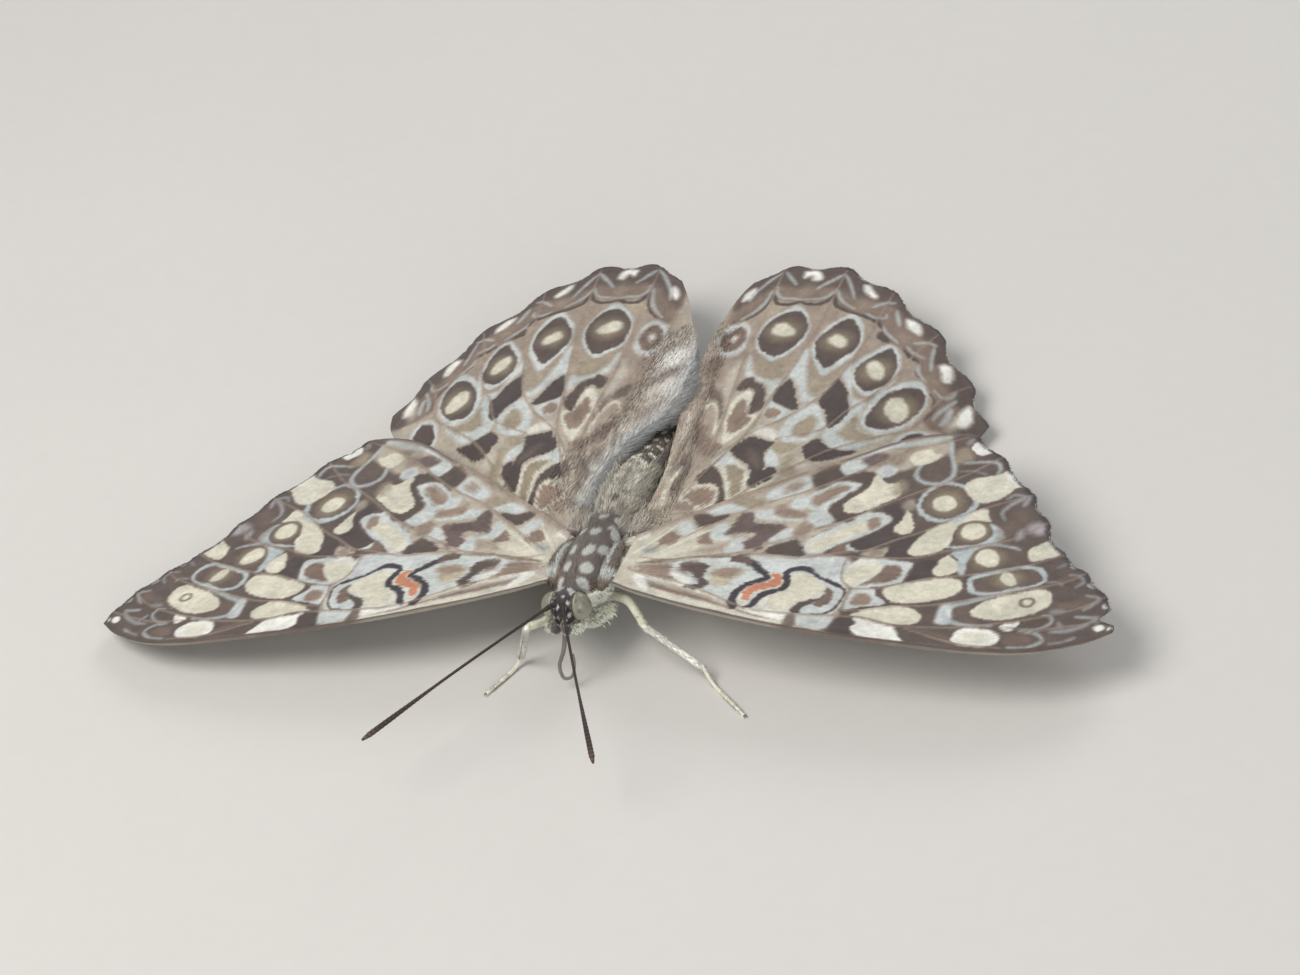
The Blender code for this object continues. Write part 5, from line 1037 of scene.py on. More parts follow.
def body_tint(P, upness):
    """Markings of the body at points P; upness is 1 on top and -1 below. Skin and hair share it."""
    x, y, z = P[:, 0], P[:, 1], P[:, 2]
    mid = axis_x(y)
    rgb = np.tile(np.array((112, 97, 86), float), (len(P), 1))

    def put(cover, ink):
        a = np.clip(cover, 0, 1)[:, None]
        rgb[:] = rgb * (1 - a) + np.array(ink, float) * a
    n = soft_noise(x * 3.1, y * 3.1, 51)
    # thorax and abdomen are pale below
    put((0.5 - (z - 4.35 + 0.25 * n) / 0.5) * (y < 3.2) * (y > -6.2), (228, 230, 208))
    # grey hair over the waist and the first rings
    put(np.clip((y - 2.2) / 0.9, 0, 1) * (y < 9.9) * (upness > -0.3), (208, 202, 186))
    put(np.clip(n * 1.6, 0, 0.75) * np.clip((y - 2.0) / 1.2, 0, 1) * (y < 9.9) * (upness > -0.3), (142, 131, 116))
    on_back = (z > 4.3) & (y > -6.4)
    for sx, sy, rx, ry, tb in THORAX_SPOTS:
        put(blob(P, sx, sy, rx, ry, tb, 0.35) * on_back, (226, 228, 216))
    put(blob(P, 0.65, 7.0, 0.36, 0.60, 0, 0.5) * (upness > 0.0), (250, 250, 242))
    put(blob(P, -1.2, 6.9, 0.30, 0.5, 0, 0.6) * (upness > 0.0), (226, 224, 212))
    put(blob(P, -0.13, 4.3, 0.24, 0.30, 0, 0.7) * (upness > 0.2), (92, 84, 76))
    # abdomen: dark above, with a pale chevron, then a middle dot and two slanting bars on every ring; buff below
    mid = axis_x(y) - 0.05
    off = np.abs(x - mid)
    vee = y + 0.74 * np.abs(x + 1.12)
    put(((vee > 10.2) & (upness > -0.45)) * 1.0, (104, 90, 80))
    put(np.exp(-((vee - 10.05) / 0.22) ** 2) * 1.9 * (upness > -0.2) * (y > 6), (244, 240, 218))
    f = (y - 9.40) / 1.40 % 1.0
    back = (y > 9.8) & (upness > -0.1)
    put(np.exp(-((x - mid) / 0.19) ** 2 - ((f - 0.5) / 0.17) ** 2) * 1.8 * back, (244, 240, 218))
    f2 = (y + 0.42 * off - 10.02) / 1.40 % 1.0
    put(np.exp(-((f2 - 0.5) / 0.12) ** 2) * np.clip((off - 0.40) / 0.1, 0, 1) * 1.5 * (y > 9.7) * (upness > -0.2), (240, 234, 210))
    f3 = (y + 0.3 * off - 9.25) / 1.40 % 1.0
    put(np.exp(-((f3 - 0.5) / 0.08) ** 2) * np.exp(-((off - 0.46) / 0.13) ** 2) * (y > 9.8) * (upness > 0), (196, 188, 164))
    put(((y > 4.3) & (upness < -0.35)) * np.clip((-0.35 - upness) / 0.2, 0, 1), (212, 204, 180))
    # head: black above, pale chin, small white spots
    head = y < -6.0
    put(head * (z > 4.55) * 1.0, (66, 58, 56))
    put(head * np.clip((4.75 - z) / 0.3, 0, 1), (224, 226, 200))
    for sx, sy, sz, r in HEAD_SPOTS:
        r *= 1.3
        d = np.sqrt((x - sx) ** 2 + (y - sy) ** 2 + (z - sz) ** 2)
        put(np.clip((r - d) / 0.08 + 0.5, 0, 1) * head, (232, 234, 230))
    return rgb


HEAD_SPOTS = ((-0.72, -6.95, 5.98, 0.14), (0.13, -6.47, 6.02, 0.22), (0.22, -6.75, 6.02, 0.15), (-0.55, -6.16, 6.0, 0.17), (-0.10, -7.15, 6.18, 0.10), (-0.40, -7.85, 5.84, 0.15),
              (0.25, -7.44, 5.84, 0.16), (0.35, -7.97, 5.28, 0.15), (0.08, -7.91, 5.74, 0.13), (0.14, -8.30, 5.07, 0.13), (-0.72, -7.75, 5.62, 0.12), (-0.28, -8.25, 5.25, 0.11),
              (-0.62, -8.05, 5.15, 0.13), (0.52, -7.35, 5.60, 0.11))


def build_skin():
    ny, na = (130, 48) if QUICK else (270, 96)
    t = np.linspace(0, 1, ny)
    y = -8.38 + 24.38 * t
    a = np.linspace(0, 2 * np.pi, na, endpoint=False)
    Yg, Ag = np.meshgrid(y, a, indexing="ij")
    V = body_surface(Yg, Ag)
    ends = np.array([(-0.13, -8.5, 4.95), (-0.12, 16.1, 3.0)])
    i, j = np.meshgrid(np.arange(ny - 1), np.arange(na), indexing="ij")
    k = (j + 1) % na
    quads = np.stack([(i + 1) * na + j, (i + 1) * na + k, i * na + k, i * na + j], -1).reshape(-1, 4)
    j = np.arange(na)
    k = (j + 1) % na
    m = ny * na
    caps = np.vstack([np.stack([np.full(na, m), j, k], -1), np.stack([np.full(na, m + 1), (ny - 1) * na + k, (ny - 1) * na + j], -1)])
    P = np.vstack([V.reshape(-1, 3), ends])
    up = np.concatenate([np.sin(Ag).ravel(), [0, 0]])
    rgb = body_tint(P, up) * 0.82
    uv = np.vstack([np.stack([Ag / (2 * np.pi), (Yg + 8.6) / 25.0], -1).reshape(-1, 2), [(0.5, 0.004), (0.5, 0.99)]])
    return make("body_skin", P, [quads, caps], SKIN, rgb, uv,
                replaces=("head", "prothorax", "thorax", "abdomen_front", "abdomen_middle", "abdomen_rear"))


build_skin()


def scatter(y0, y1, a0, a1, count, keep=None):
    """Even random roots on the skin between two stations and two angles."""
    ys, as_ = [], []
    got = 0
    while got < count:
        y = rng.uniform(y0, y1, count * 2)
        a = rng.uniform(a0, a1, count * 2)
        w = np.interp(y, DENSE[:, 0], DENSE[:, 1]) / 2.3
        ok = rng.random(count * 2) < w
        P = body_surface(y, a)
        if keep is not None:
            ok &= keep(P, a)
        ys.append(y[ok])
        as_.append(a[ok])
        got += int(ok.sum())
    return np.concatenate(ys)[:count], np.concatenate(as_)[:count]


def body_coat(name, y0, y1, a0, a1, count, length, width, stand, lift=0.10, flow=(0, 1, 0), keep=None, jointed=True, drop=0.0, mess=0.16, replaces=(), ink=None):
    count, width = (int(count * THIN), width * 1.14) if jointed else (count, width * 1.2)
    if QUICK:
        count //= 4
        width = width * 1.7
    y, a = scatter(y0, y1, a0, a1, count, keep)
    P, N = body_surface(y, a), body_normal(y, a)
    flow = np.array(flow, float) + np.zeros_like(P)
    flow[:, 2] -= drop
    along = unit(flow - N * (flow * N).sum(1, keepdims=True))
    L = length(y) if callable(length) else np.full(count, float(length))
    L = L * rng.uniform(0.7, 1.2, count)
    S = stand(y) if callable(stand) else stand
    S = np.broadcast_to(np.asarray(S, float), (count,))[:, None]
    lean = along + N * S + mess * rng.normal(size=P.shape)
    rgb = (body_tint(P + along * L[:, None] * 0.6, np.sin(a)) if ink is None else np.tile(np.array(ink, float), (count, 1))) * rng.uniform(0.86, 1.16, (count, 1))
    uv = np.stack([(a % (2 * np.pi)) / (2 * np.pi), (y + 8.6) / 25.0], -1)
    v, f, c, u = spikes(P, lean, N, L, width * rng.uniform(0.75, 1.25, count), rgb, uv, lift=lift, jointed=jointed)
    return make(name, v, f, HAIR, c, u, replaces=replaces)


TAU = 2 * math.pi
body_coat("coat_thorax_top", -5.7, 2.4, 0.05, math.pi - 0.05, 19000, lambda y: np.interp(y, [-5.6, -4, 1, 2.4], [0.40, 0.46, 0.50, 0.8]), 0.06,
          lambda y: np.interp(y, [-5.6, -4.8, -3.5, 2.4], [0.8, 0.55, 0.36, 0.30]), mess=0.10, jointed=False)
body_coat("coat_thorax_side", -5.8, 2.6, math.pi, TAU + 0.05, 9000, lambda y: np.interp(y, [-5.8, -3.5, 2.4], [0.8, 0.9, 0.8]), 0.085, 0.35, drop=0.6, jointed=False)
body_coat("coat_waist", 2.1, 9.6, -0.3, math.pi + 0.3, 14500, lambda y: np.interp(y, [1.3, 3.0, 6, 9.6], [0.8, 0.95, 0.7, 0.4]), 0.055, lambda y: np.interp(y, [1.3, 5, 9.6], [0.34, 0.26, 0.14]), mess=0.2)
body_coat("coat_abdomen", 3.2, 15.9, 0, TAU, 15000, lambda y: np.interp(y, [3.2, 14, 15.9], [0.36, 0.30, 0.45]), 0.075, 0.12, lift=0.04, mess=0.08)
body_coat("coat_head", -8.36, -5.4, 0, TAU, 9500, lambda y: np.interp(y, [-8.3, -7.4, -5.6], [0.20, 0.24, 0.38]), 0.05, 0.5, flow=(0, 0.7, 0.25), mess=0.2, jointed=False)
for s, label, a0, a1 in ((+1, "left", -1.15, 0.30), (-1, "right", math.pi - 0.30, math.pi + 1.15)):
    # cream breast, seen between the head and the leading edge of the wing
    body_coat("breast_" + label, -6.0, -2.9, a0, a1, 7500, 0.55, 0.06, 0.6, flow=(s * 0.6, -0.35, -0.35), mess=0.26, ink=(255, 253, 224))
body_coat("tail_flank_right", 8.5, 15.8, math.pi * 0.70, math.pi * 1.02, 4500, 0.95, 0.06, 0.9, flow=(-0.8, 1, 0.1), mess=0.2, ink=(118, 104, 94))
body_coat("tail_flank_left", 9.5, 15.8, -math.pi * 0.02, math.pi * 0.22, 3000, 0.55, 0.055, 0.5, flow=(0.4, 1, 0), mess=0.2, ink=(128, 114, 102))
body_coat("flank_right", 0.8, 9.5, math.pi * 0.72, math.pi * 0.97, 6500, 1.2, 0.06, 0.5, flow=(-0.35, 1, 0.1), mess=0.16, ink=(184, 178, 164))
body_coat("flank_left", 0.8, 9.0, math.pi * 0.03, math.pi * 0.27, 4000, 0.9, 0.06, 0.4, flow=(0.3, 1, 0.1), mess=0.16, ink=(176, 168, 152))


# ------------------------------------------------- breast and wing-root hair
def clump(name, centre, spread, flow, count, length, width, rgb, vary=0.12, mess=0.2, box=(0.5, 0.5, 0.5)):
    """A loose bunch of hair growing from a small patch of skin."""
    count, width = int(count * THIN), width * 1.14
    if QUICK:
        count //= 3
        width *= 1.6
    P = np.array(centre) + rng.normal(size=(count, 3)) * np.array(spread)
    lean = unit(np.array(flow, float)) + mess * rng.normal(size=P.shape)
    N = unit(P - np.array((axis_x(centre[1]), centre[1], 4.0)) + 1e-3)
    c = np.array(rgb, float) * rng.uniform(1 - vary, 1 + vary, (count, 1))
    uv = np.clip(np.stack([(P[:, 0] + 5) / 10, (P[:, 1] + 12) / 24], -1), 0.01, 0.99)
    v, f, c, u = spikes(P, lean, N, length * rng.uniform(0.6, 1.15, count), width, c, uv, lift=0.08)
    return make(name, v, f, HAIR, c, u)


def shoulder(s, label):
    """The flap over the wing's joint: a low cushion of scales with an angled grey-white mark."""
    line = smooth_path([(s * 1.62 - 0.17, -4.85, 5.05), (s * 1.92 - 0.17, -4.05, 5.42), (s * 2.02 - 0.17, -2.95, 5.66), (s * 1.98 - 0.17, -1.70, 5.66), (s * 1.84 - 0.17, -0.60, 5.50)], 60)
    r = np.interp(np.linspace(0, 1, 60), [0, 0.2, 0.45, 0.8, 1], [0.28, 0.46, 0.42, 0.32, 0.14])
    v, f = sweep(line, r, 20, 0.75)
    ring = np.clip(np.arange(len(v)) // 20, 0, 59)
    q = s * (v[:, 0] - line[ring, 0]) / r[ring]
    t = ring / 59
    mark = np.clip(1.5 - np.abs(q + 0.25) / 0.36, 0, 1) * np.clip((t - 0.06) / 0.1, 0, 1) * np.clip((0.98 - t) / 0.2, 0, 1)
    mark = np.maximum(mark, np.clip(1.5 - np.abs(t - 0.20) / 0.10, 0, 1) * (q > -0.5))[:, None]
    tint = (1 - mark) * np.array((122, 106, 92.0)) + mark * np.array((202, 205, 198.0))
    make("shoulder_" + label + "_core", v, f, SKIN, tint)
    count = 1200 if QUICK else 4200
    k = rng.integers(0, len(v) - 2, count)
    N = unit(v[k] - line[ring[k]])
    T = unit(np.gradient(line, axis=0))[ring[k]]
    lean = T + N * 0.28 + 0.17 * rng.normal(size=N.shape)
    uv = np.stack([(k % 20 + rng.random(count)) / 20, np.clip(t[k] + rng.uniform(-0.01, 0.01, count), 0.01, 0.99)], -1)
    a, b, c, u = spikes(v[k] + T * rng.uniform(-0.05, 0.05, (count, 1)), lean, N, rng.uniform(0.35, 0.6, count), 0.075, tint[k] * rng.uniform(0.86, 1.14, (count, 1)), uv)
    make("shoulder_" + label + "_coat", a, b, HAIR, c, u)


def brow(s, label):
    """Short dark hair round the inner rim of the eye."""
    count = 500 if QUICK else 1600
    th = rng.uniform(-0.5, math.pi + 0.3, count)
    P = np.stack([s * (0.66 + 0.05 * rng.normal(size=count)) - 0.13, -7.05 + 0.72 * np.cos(th), 5.24 + 0.86 * np.sin(th)], -1) + 0.03 * rng.normal(size=(count, 3))
    N = unit(np.stack([0 * th, np.cos(th), np.sin(th)], -1))
    lean = N + np.array((s * 0.75, 0.15, 0)) + 0.2 * rng.normal(size=N.shape)
    c = np.where(rng.random((count, 1)) < 0.16, np.array((206, 206, 196.0)), np.array((70, 62, 58.0))) * rng.uniform(0.85, 1.15, (count, 1))
    uv = np.clip(np.stack([(th + 0.6) / 4.2, 0.5 + 0.2 * rng.normal(size=count)], -1), 0.01, 0.99)
    a, b, c, u = spikes(P, lean, N, rng.uniform(0.16, 0.30, count), 0.045, c, uv, jointed=False)
    make("brow_" + label, a, b, HAIR, c, u)


def root_scales(s, label):
    """Streaked scales that run from the joint out over the base of the forewing."""
    count = 700 if QUICK else 2600
    t = rng.random(count)
    P = np.stack([s * (2.22 + 0.12 * rng.normal(size=count)), -3.9 + 4.7 * t, 5.52 + 0.03 * rng.normal(size=count)], -1)
    lean = unit(np.stack([s * (1.0 + 0 * t), (t - 0.35) * 1.1, 0.02 + 0 * t], -1)) + 0.09 * rng.normal(size=P.shape) * np.array((1, 1, 0.4))
    n = soft_noise(t * 11.0, 0 * t + 2.3, 77)[:, None]
    k = np.clip(0.5 + 1.6 * n, 0, 1)
    c = (1 - k) * np.array((132, 117, 105.0)) + k * np.array((220, 216, 200.0))
    c = c * rng.uniform(0.86, 1.14, (count, 1))
    uv = np.stack([np.clip(t, 0.01, 0.99), rng.uniform(0.05, 0.95, count)], -1)
    a, b, c, u = spikes(P, lean, np.tile(np.array((0, 0, 1.0)), (count, 1)), rng.uniform(0.55, 1.0, count), 0.06, c, uv, lift=0.05)
    make("root_scales_" + label, a, b, HAIR, c, u)


for s, label in ((+1, "left"), (-1, "right")):
    shoulder(s, label)
    root_scales(s, label)
    clump("breast_fringe_" + label, (s * 1.25 - 0.13, -5.0, 3.35), (0.36, 0.42, 0.16), (s * 0.75, -0.25, -0.75), 2200, 0.55, 0.065, (252, 250, 222), mess=0.22, box=(0.4, 0.4, 0.3))
    brow(s, label)
    clump("wingroot_tuft_" + label, (s * 2.15 - 0.1, 1.3, 5.22), (0.26, 0.85, 0.08), (s * (0.35 if s > 0 else 0.05), 0.95, 0.05), 4200, 0.95, 0.05, (188, 178, 164), vary=0.26)
    clump("cheek_tuft_" + label, (s * 0.72 - 0.23, -7.55, 4.22), (0.24, 0.34, 0.10), (s * 0.45, -0.55, -0.35), 1500, 0.42, 0.07, (228, 230, 208), box=(0.3, 0.3, 0.2))
clump("chin_tuft", (-0.05, -7.95, 4.28), (0.30, 0.16, 0.10), (0.15, -0.6, -0.6), 1000, 0.38, 0.06, (226, 228, 206))


# ------------------------------------------------------- hair on the wings
def wing_hair(name, kind, side, count, pick, length, width, flow, lay=0.16, mess=0.10, tone=None, lift=0.05, up=0.02, fade=0.5, gain=1.0):
    """Tufts rooted on a wing's upper side; pick(flat) gives how likely each spot is."""
    count, width = int(count * THIN), width * 1.14
    if QUICK:
        count //= 3
        width *= 1.6
    flat, top, rgb, _ = TINTS[kind, side]
    w = pick(flat[..., 0], flat[..., 1])
    step = np.linalg.norm(np.gradient(flat, axis=0), axis=-1) * np.linalg.norm(np.gradient(flat, axis=1), axis=-1)
    w = (w * step).ravel()
    at = rng.choice(len(w), size=count, p=w / w.sum())
    P = top.reshape(-1, 3)[at] + rng.normal(size=(count, 3)) * np.array((0.06, 0.06, 0.0))
    F = flat.reshape(-1, 2)[at]
    d = np.array(flow(F[:, 0], F[:, 1])).T
    d = np.stack([side * d[:, 0], d[:, 1], np.full(count, lay)], -1)
    lean = unit(d) + mess * rng.normal(size=P.shape) * np.array((1, 1, 0.4))
    c = rgb.reshape(-1, 3)[at]
    if callable(tone):
        tone, fade = tone(F)
    if tone is not None:
        c = c * (1 - fade) + np.array(tone, float) * fade
    c = c * rng.uniform(0.85, 1.15, (count, 1)) * gain
    uv = np.stack([np.clip((F[:, 0] + 3) / 44, 0.01, 0.99), np.clip((F[:, 1] + 12) / 50, 0.01, 0.99)], -1)
    L = (length(F[:, 0], F[:, 1]) if callable(length) else length) * rng.uniform(0.65, 1.2, count)
    P[:, 2] += up
    v, f, c, u = spikes(P, lean, np.tile(np.array((0, 0, 1.0)), (count, 1)), L, width, c, uv, lift=lift)
    return make(name, v, f, HAIR, c, u)


def silver(F):
    """Grey of the long hair on the fold: darker next to the body, banded brown and white near its end."""
    inner = np.interp(F[:, 1], [p[1] for p in HIND["inner"][-1]], [p[0] for p in HIND["inner"][-1]])
    d = (F[:, 0] - inner)[:, None]
    k = np.clip(d / 3.0, 0, 1)
    c = (1 - k) * np.array((164, 164, 162.0)) + k * np.array((206, 203, 196.0))
    for y0, w, ink, f in ((20.2, 0.8, (104, 90, 82), 0.8), (22.4, 0.9, (240, 238, 230), 0.85), (24.2, 0.6, (112, 98, 90), 0.6), (25.6, 0.7, (214, 210, 202), 0.5),
                          (18.0, 0.8, (196, 194, 188), 0.5), (15.6, 0.8, (126, 110, 100), 0.6), (13.4, 0.9, (200, 192, 180), 0.5)):
        g = np.exp(-((F[:, 1:2] + 0.55 * d - y0) / w) ** 2) * f * np.clip((d - 0.3) / 0.9, 0, 1)
        c = c * (1 - g) + np.array(ink, float) * g
    slope = np.interp(F[:, 1:2], [3, 10, 14, 18, 22], [0.72, 0.60, 0.40, 0.22, 0.18])
    return c, np.clip(1.12 - slope * d, 0.05, 0.9) * np.clip((25.5 - F[:, 1:2]) / 4, 0.1, 1)


for s, label in ((+1, "left"), (-1, "right")):
    inner_x = lambda y, s=s: np.interp(y, [p[1] for p in HIND["inner"][s]], [p[0] for p in HIND["inner"][s]])
    if s < 0:
        wing_hair("fold_hair_right", "hind", s, 15000, lambda X, Y: np.clip((inner_x(Y) + 4.2 - X) / 3.6, 0, 1) ** 1.6 * np.clip((Y - 3.4) / 3, 0, 1) * np.clip((26 - Y) / 7, 0, 1),
                  lambda X, Y: np.interp(Y, [3, 8, 18, 25], [1.5, 1.9, 1.6, 0.6]) * np.clip(1.15 - (X - inner_x(Y)) * 0.22, 0.3, 1), 0.06, lambda X, Y: (-0.10 + 0 * X, 1 + 0 * X), lay=0.01, mess=0.05, tone=silver, gain=1.16, lift=0.035)
        wing_hair("fold_drape_right", "hind", s, 9000, lambda X, Y: np.clip((inner_x(Y) + 0.45 - X) / 0.3, 0, 1) * (Y > 3.0) * np.clip((23 - Y) / 4, 0, 1),
                  lambda X, Y: np.interp(Y, [3, 8, 16, 23], [1.4, 2.1, 2.1, 0.6]), 0.06, lambda X, Y: (-np.interp(Y, [3, 7, 9, 16, 20], [0.25, 0.40, 1.1, 1.1, 0.4]), 1 + 0 * X), lay=-0.04, mess=0.12, tone=(156, 157, 156), fade=0.9, gain=1.0)
    else:
        wing_hair("fold_hair_left", "hind", s, 9000, lambda X, Y: np.clip((inner_x(Y) + 1.8 - X) / 1.8, 0, 1) * (Y > 2.5) * np.clip((27 - Y) / 9, 0, 1),
                  lambda X, Y: np.interp(Y, [3, 8, 18, 26], [1.0, 1.15, 0.9, 0.45]), 0.04, lambda X, Y: (-0.10 + 0 * X, 1 + 0 * X), lay=0.0, mess=0.045, gain=1.18, lift=0.02)


def fringe(kind, side, per_mm=15):
    """Scale tips scattered along the outer margin: white in the notches, dark on the lobes."""
    flat, top, rgb, _ = TINTS[kind, side]
    rim, world = flat[-1], top[-1]
    arc = np.concatenate([[0], np.cumsum(np.linalg.norm(np.diff(rim, axis=0), axis=1))])
    count = int(arc[-1] * per_mm * (0.5 if QUICK else 1)) * 2
    s = rng.uniform(0.1, arc[-1] - 0.1, count)
    P = np.stack([np.interp(s, arc, world[:, k]) for k in range(3)], -1)
    back = np.stack([np.interp(s, arc, top[-7][:, k]) for k in range(3)], -1)
    lean = unit(P - back) + 0.16 * rng.normal(size=P.shape) * np.array((1, 1, 0.5))
    table = FORE if kind == "fore" else HIND
    ends = np.array([arc[np.argmin(np.hypot(*(rim - np.array(e)).T))] for e in table["vein_ends"]])
    k = np.clip(np.searchsorted(ends, s) - 1, 0, len(ends) - 2)
    f = (s - ends[k]) / (ends[k + 1] - ends[k])
    pale = np.clip(1.4 - np.abs(f - 0.5) / 0.2 + 0.3 * rng.normal(size=count), 0, 1)[:, None]
    c = pale * np.array((226, 226, 214.0)) + (1 - pale) * np.array((74, 64, 64.0))
    c = c * rng.uniform(0.85, 1.12, (count, 1))
    F = np.stack([np.interp(s, arc, rim[:, k]) for k in range(2)], -1)
    uv = np.stack([np.clip((F[:, 0] + 3) / 44, 0.01, 0.99), np.clip((F[:, 1] + 12) / 50, 0.01, 0.99)], -1)
    P = P - lean * 0.10 - np.array((0, 0, 0.03))
    # roots a little darker as painted shade, tips a little lighter as a painted highlight
    v, fa, c, u = spikes(P, lean, np.tile(np.array((0, 0, 1.0)), (count, 1)), rng.uniform(0.15, 0.27, count), 0.08, c, uv, root_shade=0.95, tip_light=1.05, jointed=False)
    make(("forewing_" if kind == "fore" else "hindwing_") + ("left" if side > 0 else "right") + "_fringe", v, fa, FRINGE, c, u)


for _side in (+1, -1):
    fringe("fore", _side)
    fringe("hind", _side)


# -------------------------------------------------------------------- eyes
def eye(side, label):
    na, nb = 96, 64
    a, b = np.meshgrid(np.linspace(0, 2 * np.pi, na, endpoint=False), np.linspace(-np.pi / 2, np.pi / 2, nb), indexing="ij")
    n = np.stack([np.cos(b) * np.cos(a), np.cos(b) * np.sin(a), np.sin(b)], -1)
    V = n * np.stack([np.where(side * n[..., 0] > 0, 0.90, 0.38), np.full(n.shape[:2], 0.88), np.full(n.shape[:2], 1.04)], -1) + np.array((side * 0.93 - 0.13, -7.05, 5.28))
    rgb = np.tile(np.array((142, 140, 122), float), (na * nb, 1))
    nf = n.reshape(-1, 3)

    def spot(direction, r, ink, soft):
        d = np.arccos(np.clip(nf @ unit(np.array(direction, float)), -1, 1))
        k = np.clip((r - d) / soft + 0.5, 0, 1)[:, None]
        rgb[:] = rgb * (1 - k) + np.array(ink, float) * k
    view = np.array((0.379, -0.725, 0.575))
    sideways = np.array((0.925, 0.309, -0.22))
    upward = np.array((-0.019, 0.615, 0.788))
    rgb *= (0.86 + 0.22 * np.clip(0.5 - nf[:, 2:3] * 0.5, 0, 1))
    for du, dv, r, k in ((-0.34, 0.40, 0.17, 0.9), (0.05, -0.42, 0.16, 0.45), (-0.10, 0.02, 0.10, 0.30), (0.42, 0.18, 0.12, 0.30), (-0.5, -0.25, 0.1, 0.3),
                         (0.35, -0.55, 0.1, 0.25), (0.1, 0.62, 0.1, 0.3)):
        spot(view + du * sideways + dv * upward, r, tuple(np.array((62, 52, 46)) * k + np.array((142, 140, 122)) * (1 - k)), 0.16)
    edge = np.arccos(np.clip(side * nf[:, 0], -1, 1))
    k = np.clip((edge - 1.50) / 0.08, 0, 1)[:, None]
    rgb = rgb * (1 - k) + np.array((150, 146, 122.0)) * k
    # one vertex at each pole
    tint, rows = rgb.reshape(na, nb, 3), nb - 2
    points = np.concatenate([V[:, 1:-1].reshape(-1, 3), V[:1, 0], V[:1, -1]])
    tint = np.concatenate([tint[:, 1:-1].reshape(-1, 3), tint[:1, 0], tint[:1, -1]])
    i, j = np.meshgrid(np.arange(na), np.arange(rows - 1), indexing="ij")
    i2 = (i + 1) % na
    quads = np.stack([i * rows + j, i2 * rows + j, i2 * rows + j + 1, i * rows + j + 1], -1).reshape(-1, 4)
    k = np.arange(na)
    k2 = (k + 1) % na
    caps = np.concatenate([np.stack([np.full(na, na * rows), k2 * rows, k * rows], -1),
                           np.stack([k * rows + rows - 1, k2 * rows + rows - 1, np.full(na, na * rows + 1)], -1)])
    make("eye_" + label + "_lens", points, [quads, caps], EYES, tint, replaces=("eye_" + label,))


eye(+1, "left")
eye(-1, "right")

# ------------------------------------------------------------------ feelers
FEELER = {"left": [(0.02, -7.85, 5.95), (0.42, -8.72, 6.08), (3.6, -15.3, 5.95), (7.18, -22.6, 5.0)],
          "right": [(-0.55, -7.80, 5.95), (-1.28, -8.75, 6.05), (-5.5, -14.9, 5.75), (-10.17, -21.4, 5.0)]}
for label, pts in FEELER.items():
    path = smooth_path(pts, 220)
    t = np.linspace(0, 1, 220)
    r = np.interp(t, [0, 0.04, 0.07, 0.62, 0.86, 0.96, 1.0], [0.17, 0.17, 0.10, 0.10, 0.185, 0.20, 0.09])
    r = r * (1 + 0.07 * np.sin(t * 2 * np.pi * 48))
    v, f = sweep(path, r, 14)
    tone = np.interp(np.repeat(t, 14), [0, 0.3, 0.6, 0.9, 1], [52, 56, 62, 58, 92])
    band = 1 + 0.22 * np.sin(np.repeat(t, 14) * 2 * np.pi * 48)
    rgb = np.stack([tone * band, tone * 0.80 * band, tone * 0.72 * band], -1)
    make("antenna_" + label + "_shaft", v, f, HORN, np.vstack([rgb, rgb[:1], rgb[-1:]]), replaces=("antenna_" + label,))

# ------------------------------------------------------------------- tongue
path = smooth_path([(-0.20, -8.20, 3.95), (-0.32, -8.32, 3.30), (-0.45, -8.75, 2.60), (-0.78, -9.25, 1.70), (-0.52, -9.62, 0.95), (0.10, -9.55, 1.05),
                    (0.42, -9.30, 1.90), (0.42, -9.10, 2.70)], 150)
t = np.linspace(0, 1, 150)
v, f = sweep(path, np.interp(t, [0, 0.5, 1], [0.17, 0.13, 0.08]) * (1 + 0.05 * np.sin(t * 2 * np.pi * 60)), 12)
band = 1 + 0.12 * np.sin(np.repeat(t, 12) * 2 * np.pi * 60)
rgb = np.array((128, 122, 116.0))[None] * np.append(band, (1, 1))[:, None]
make("proboscis_tube", v, f, TONGUE, rgb, replaces=("proboscis",))


# --------------------------------------------------------- palps and forelegs
def furred(name, path, radii, ink, count, length, width, material, node, flow=None, shade=None, around=18, stand=0.5):
    """A tube with its own short tufts, as two pieces."""
    p = smooth_path(path, 60)
    t = np.linspace(0, 1, 60)
    r = np.interp(t, np.linspace(0, 1, len(radii)), radii)
    v, f = sweep(p, r, around)
    tint = np.tile(np.array(ink, float), (len(v), 1))
    if shade is not None:
        tint = shade(v, tint)
    make(name + "_core", v, f, material, tint, replaces=(node,))
    if QUICK:
        count //= 3
    k = rng.integers(0, len(v) - 2, count)
    ring = k // around
    N = unit(v[k] - p[ring])
    T = unit(np.gradient(p, axis=0))[ring]
    d = T if flow is None else np.tile(np.array(flow, float), (count, 1))
    lean = unit(d) + N * stand + 0.2 * rng.normal(size=N.shape)
    uv = np.stack([(k % around + 0.5) / around, np.clip(ring / 60, 0.01, 0.99)], -1)
    P = v[k] + T * rng.uniform(-0.05, 0.05, (count, 1))
    c = tint[k] * rng.uniform(0.8, 1.2, (count, 1))
    a, b, c, u = spikes(P, lean, N, length * rng.uniform(0.6, 1.2, count), width, c, uv, jointed=False)
    make(name + "_hair", a, b, HAIR, c, u)


def palp_shade(v, tint):
    k = np.clip((4.45 - v[:, 2]) / 0.4, 0, 1)[:, None] * 0.7
    return tint * (1 - k) + np.array((206, 206, 190.0)) * k


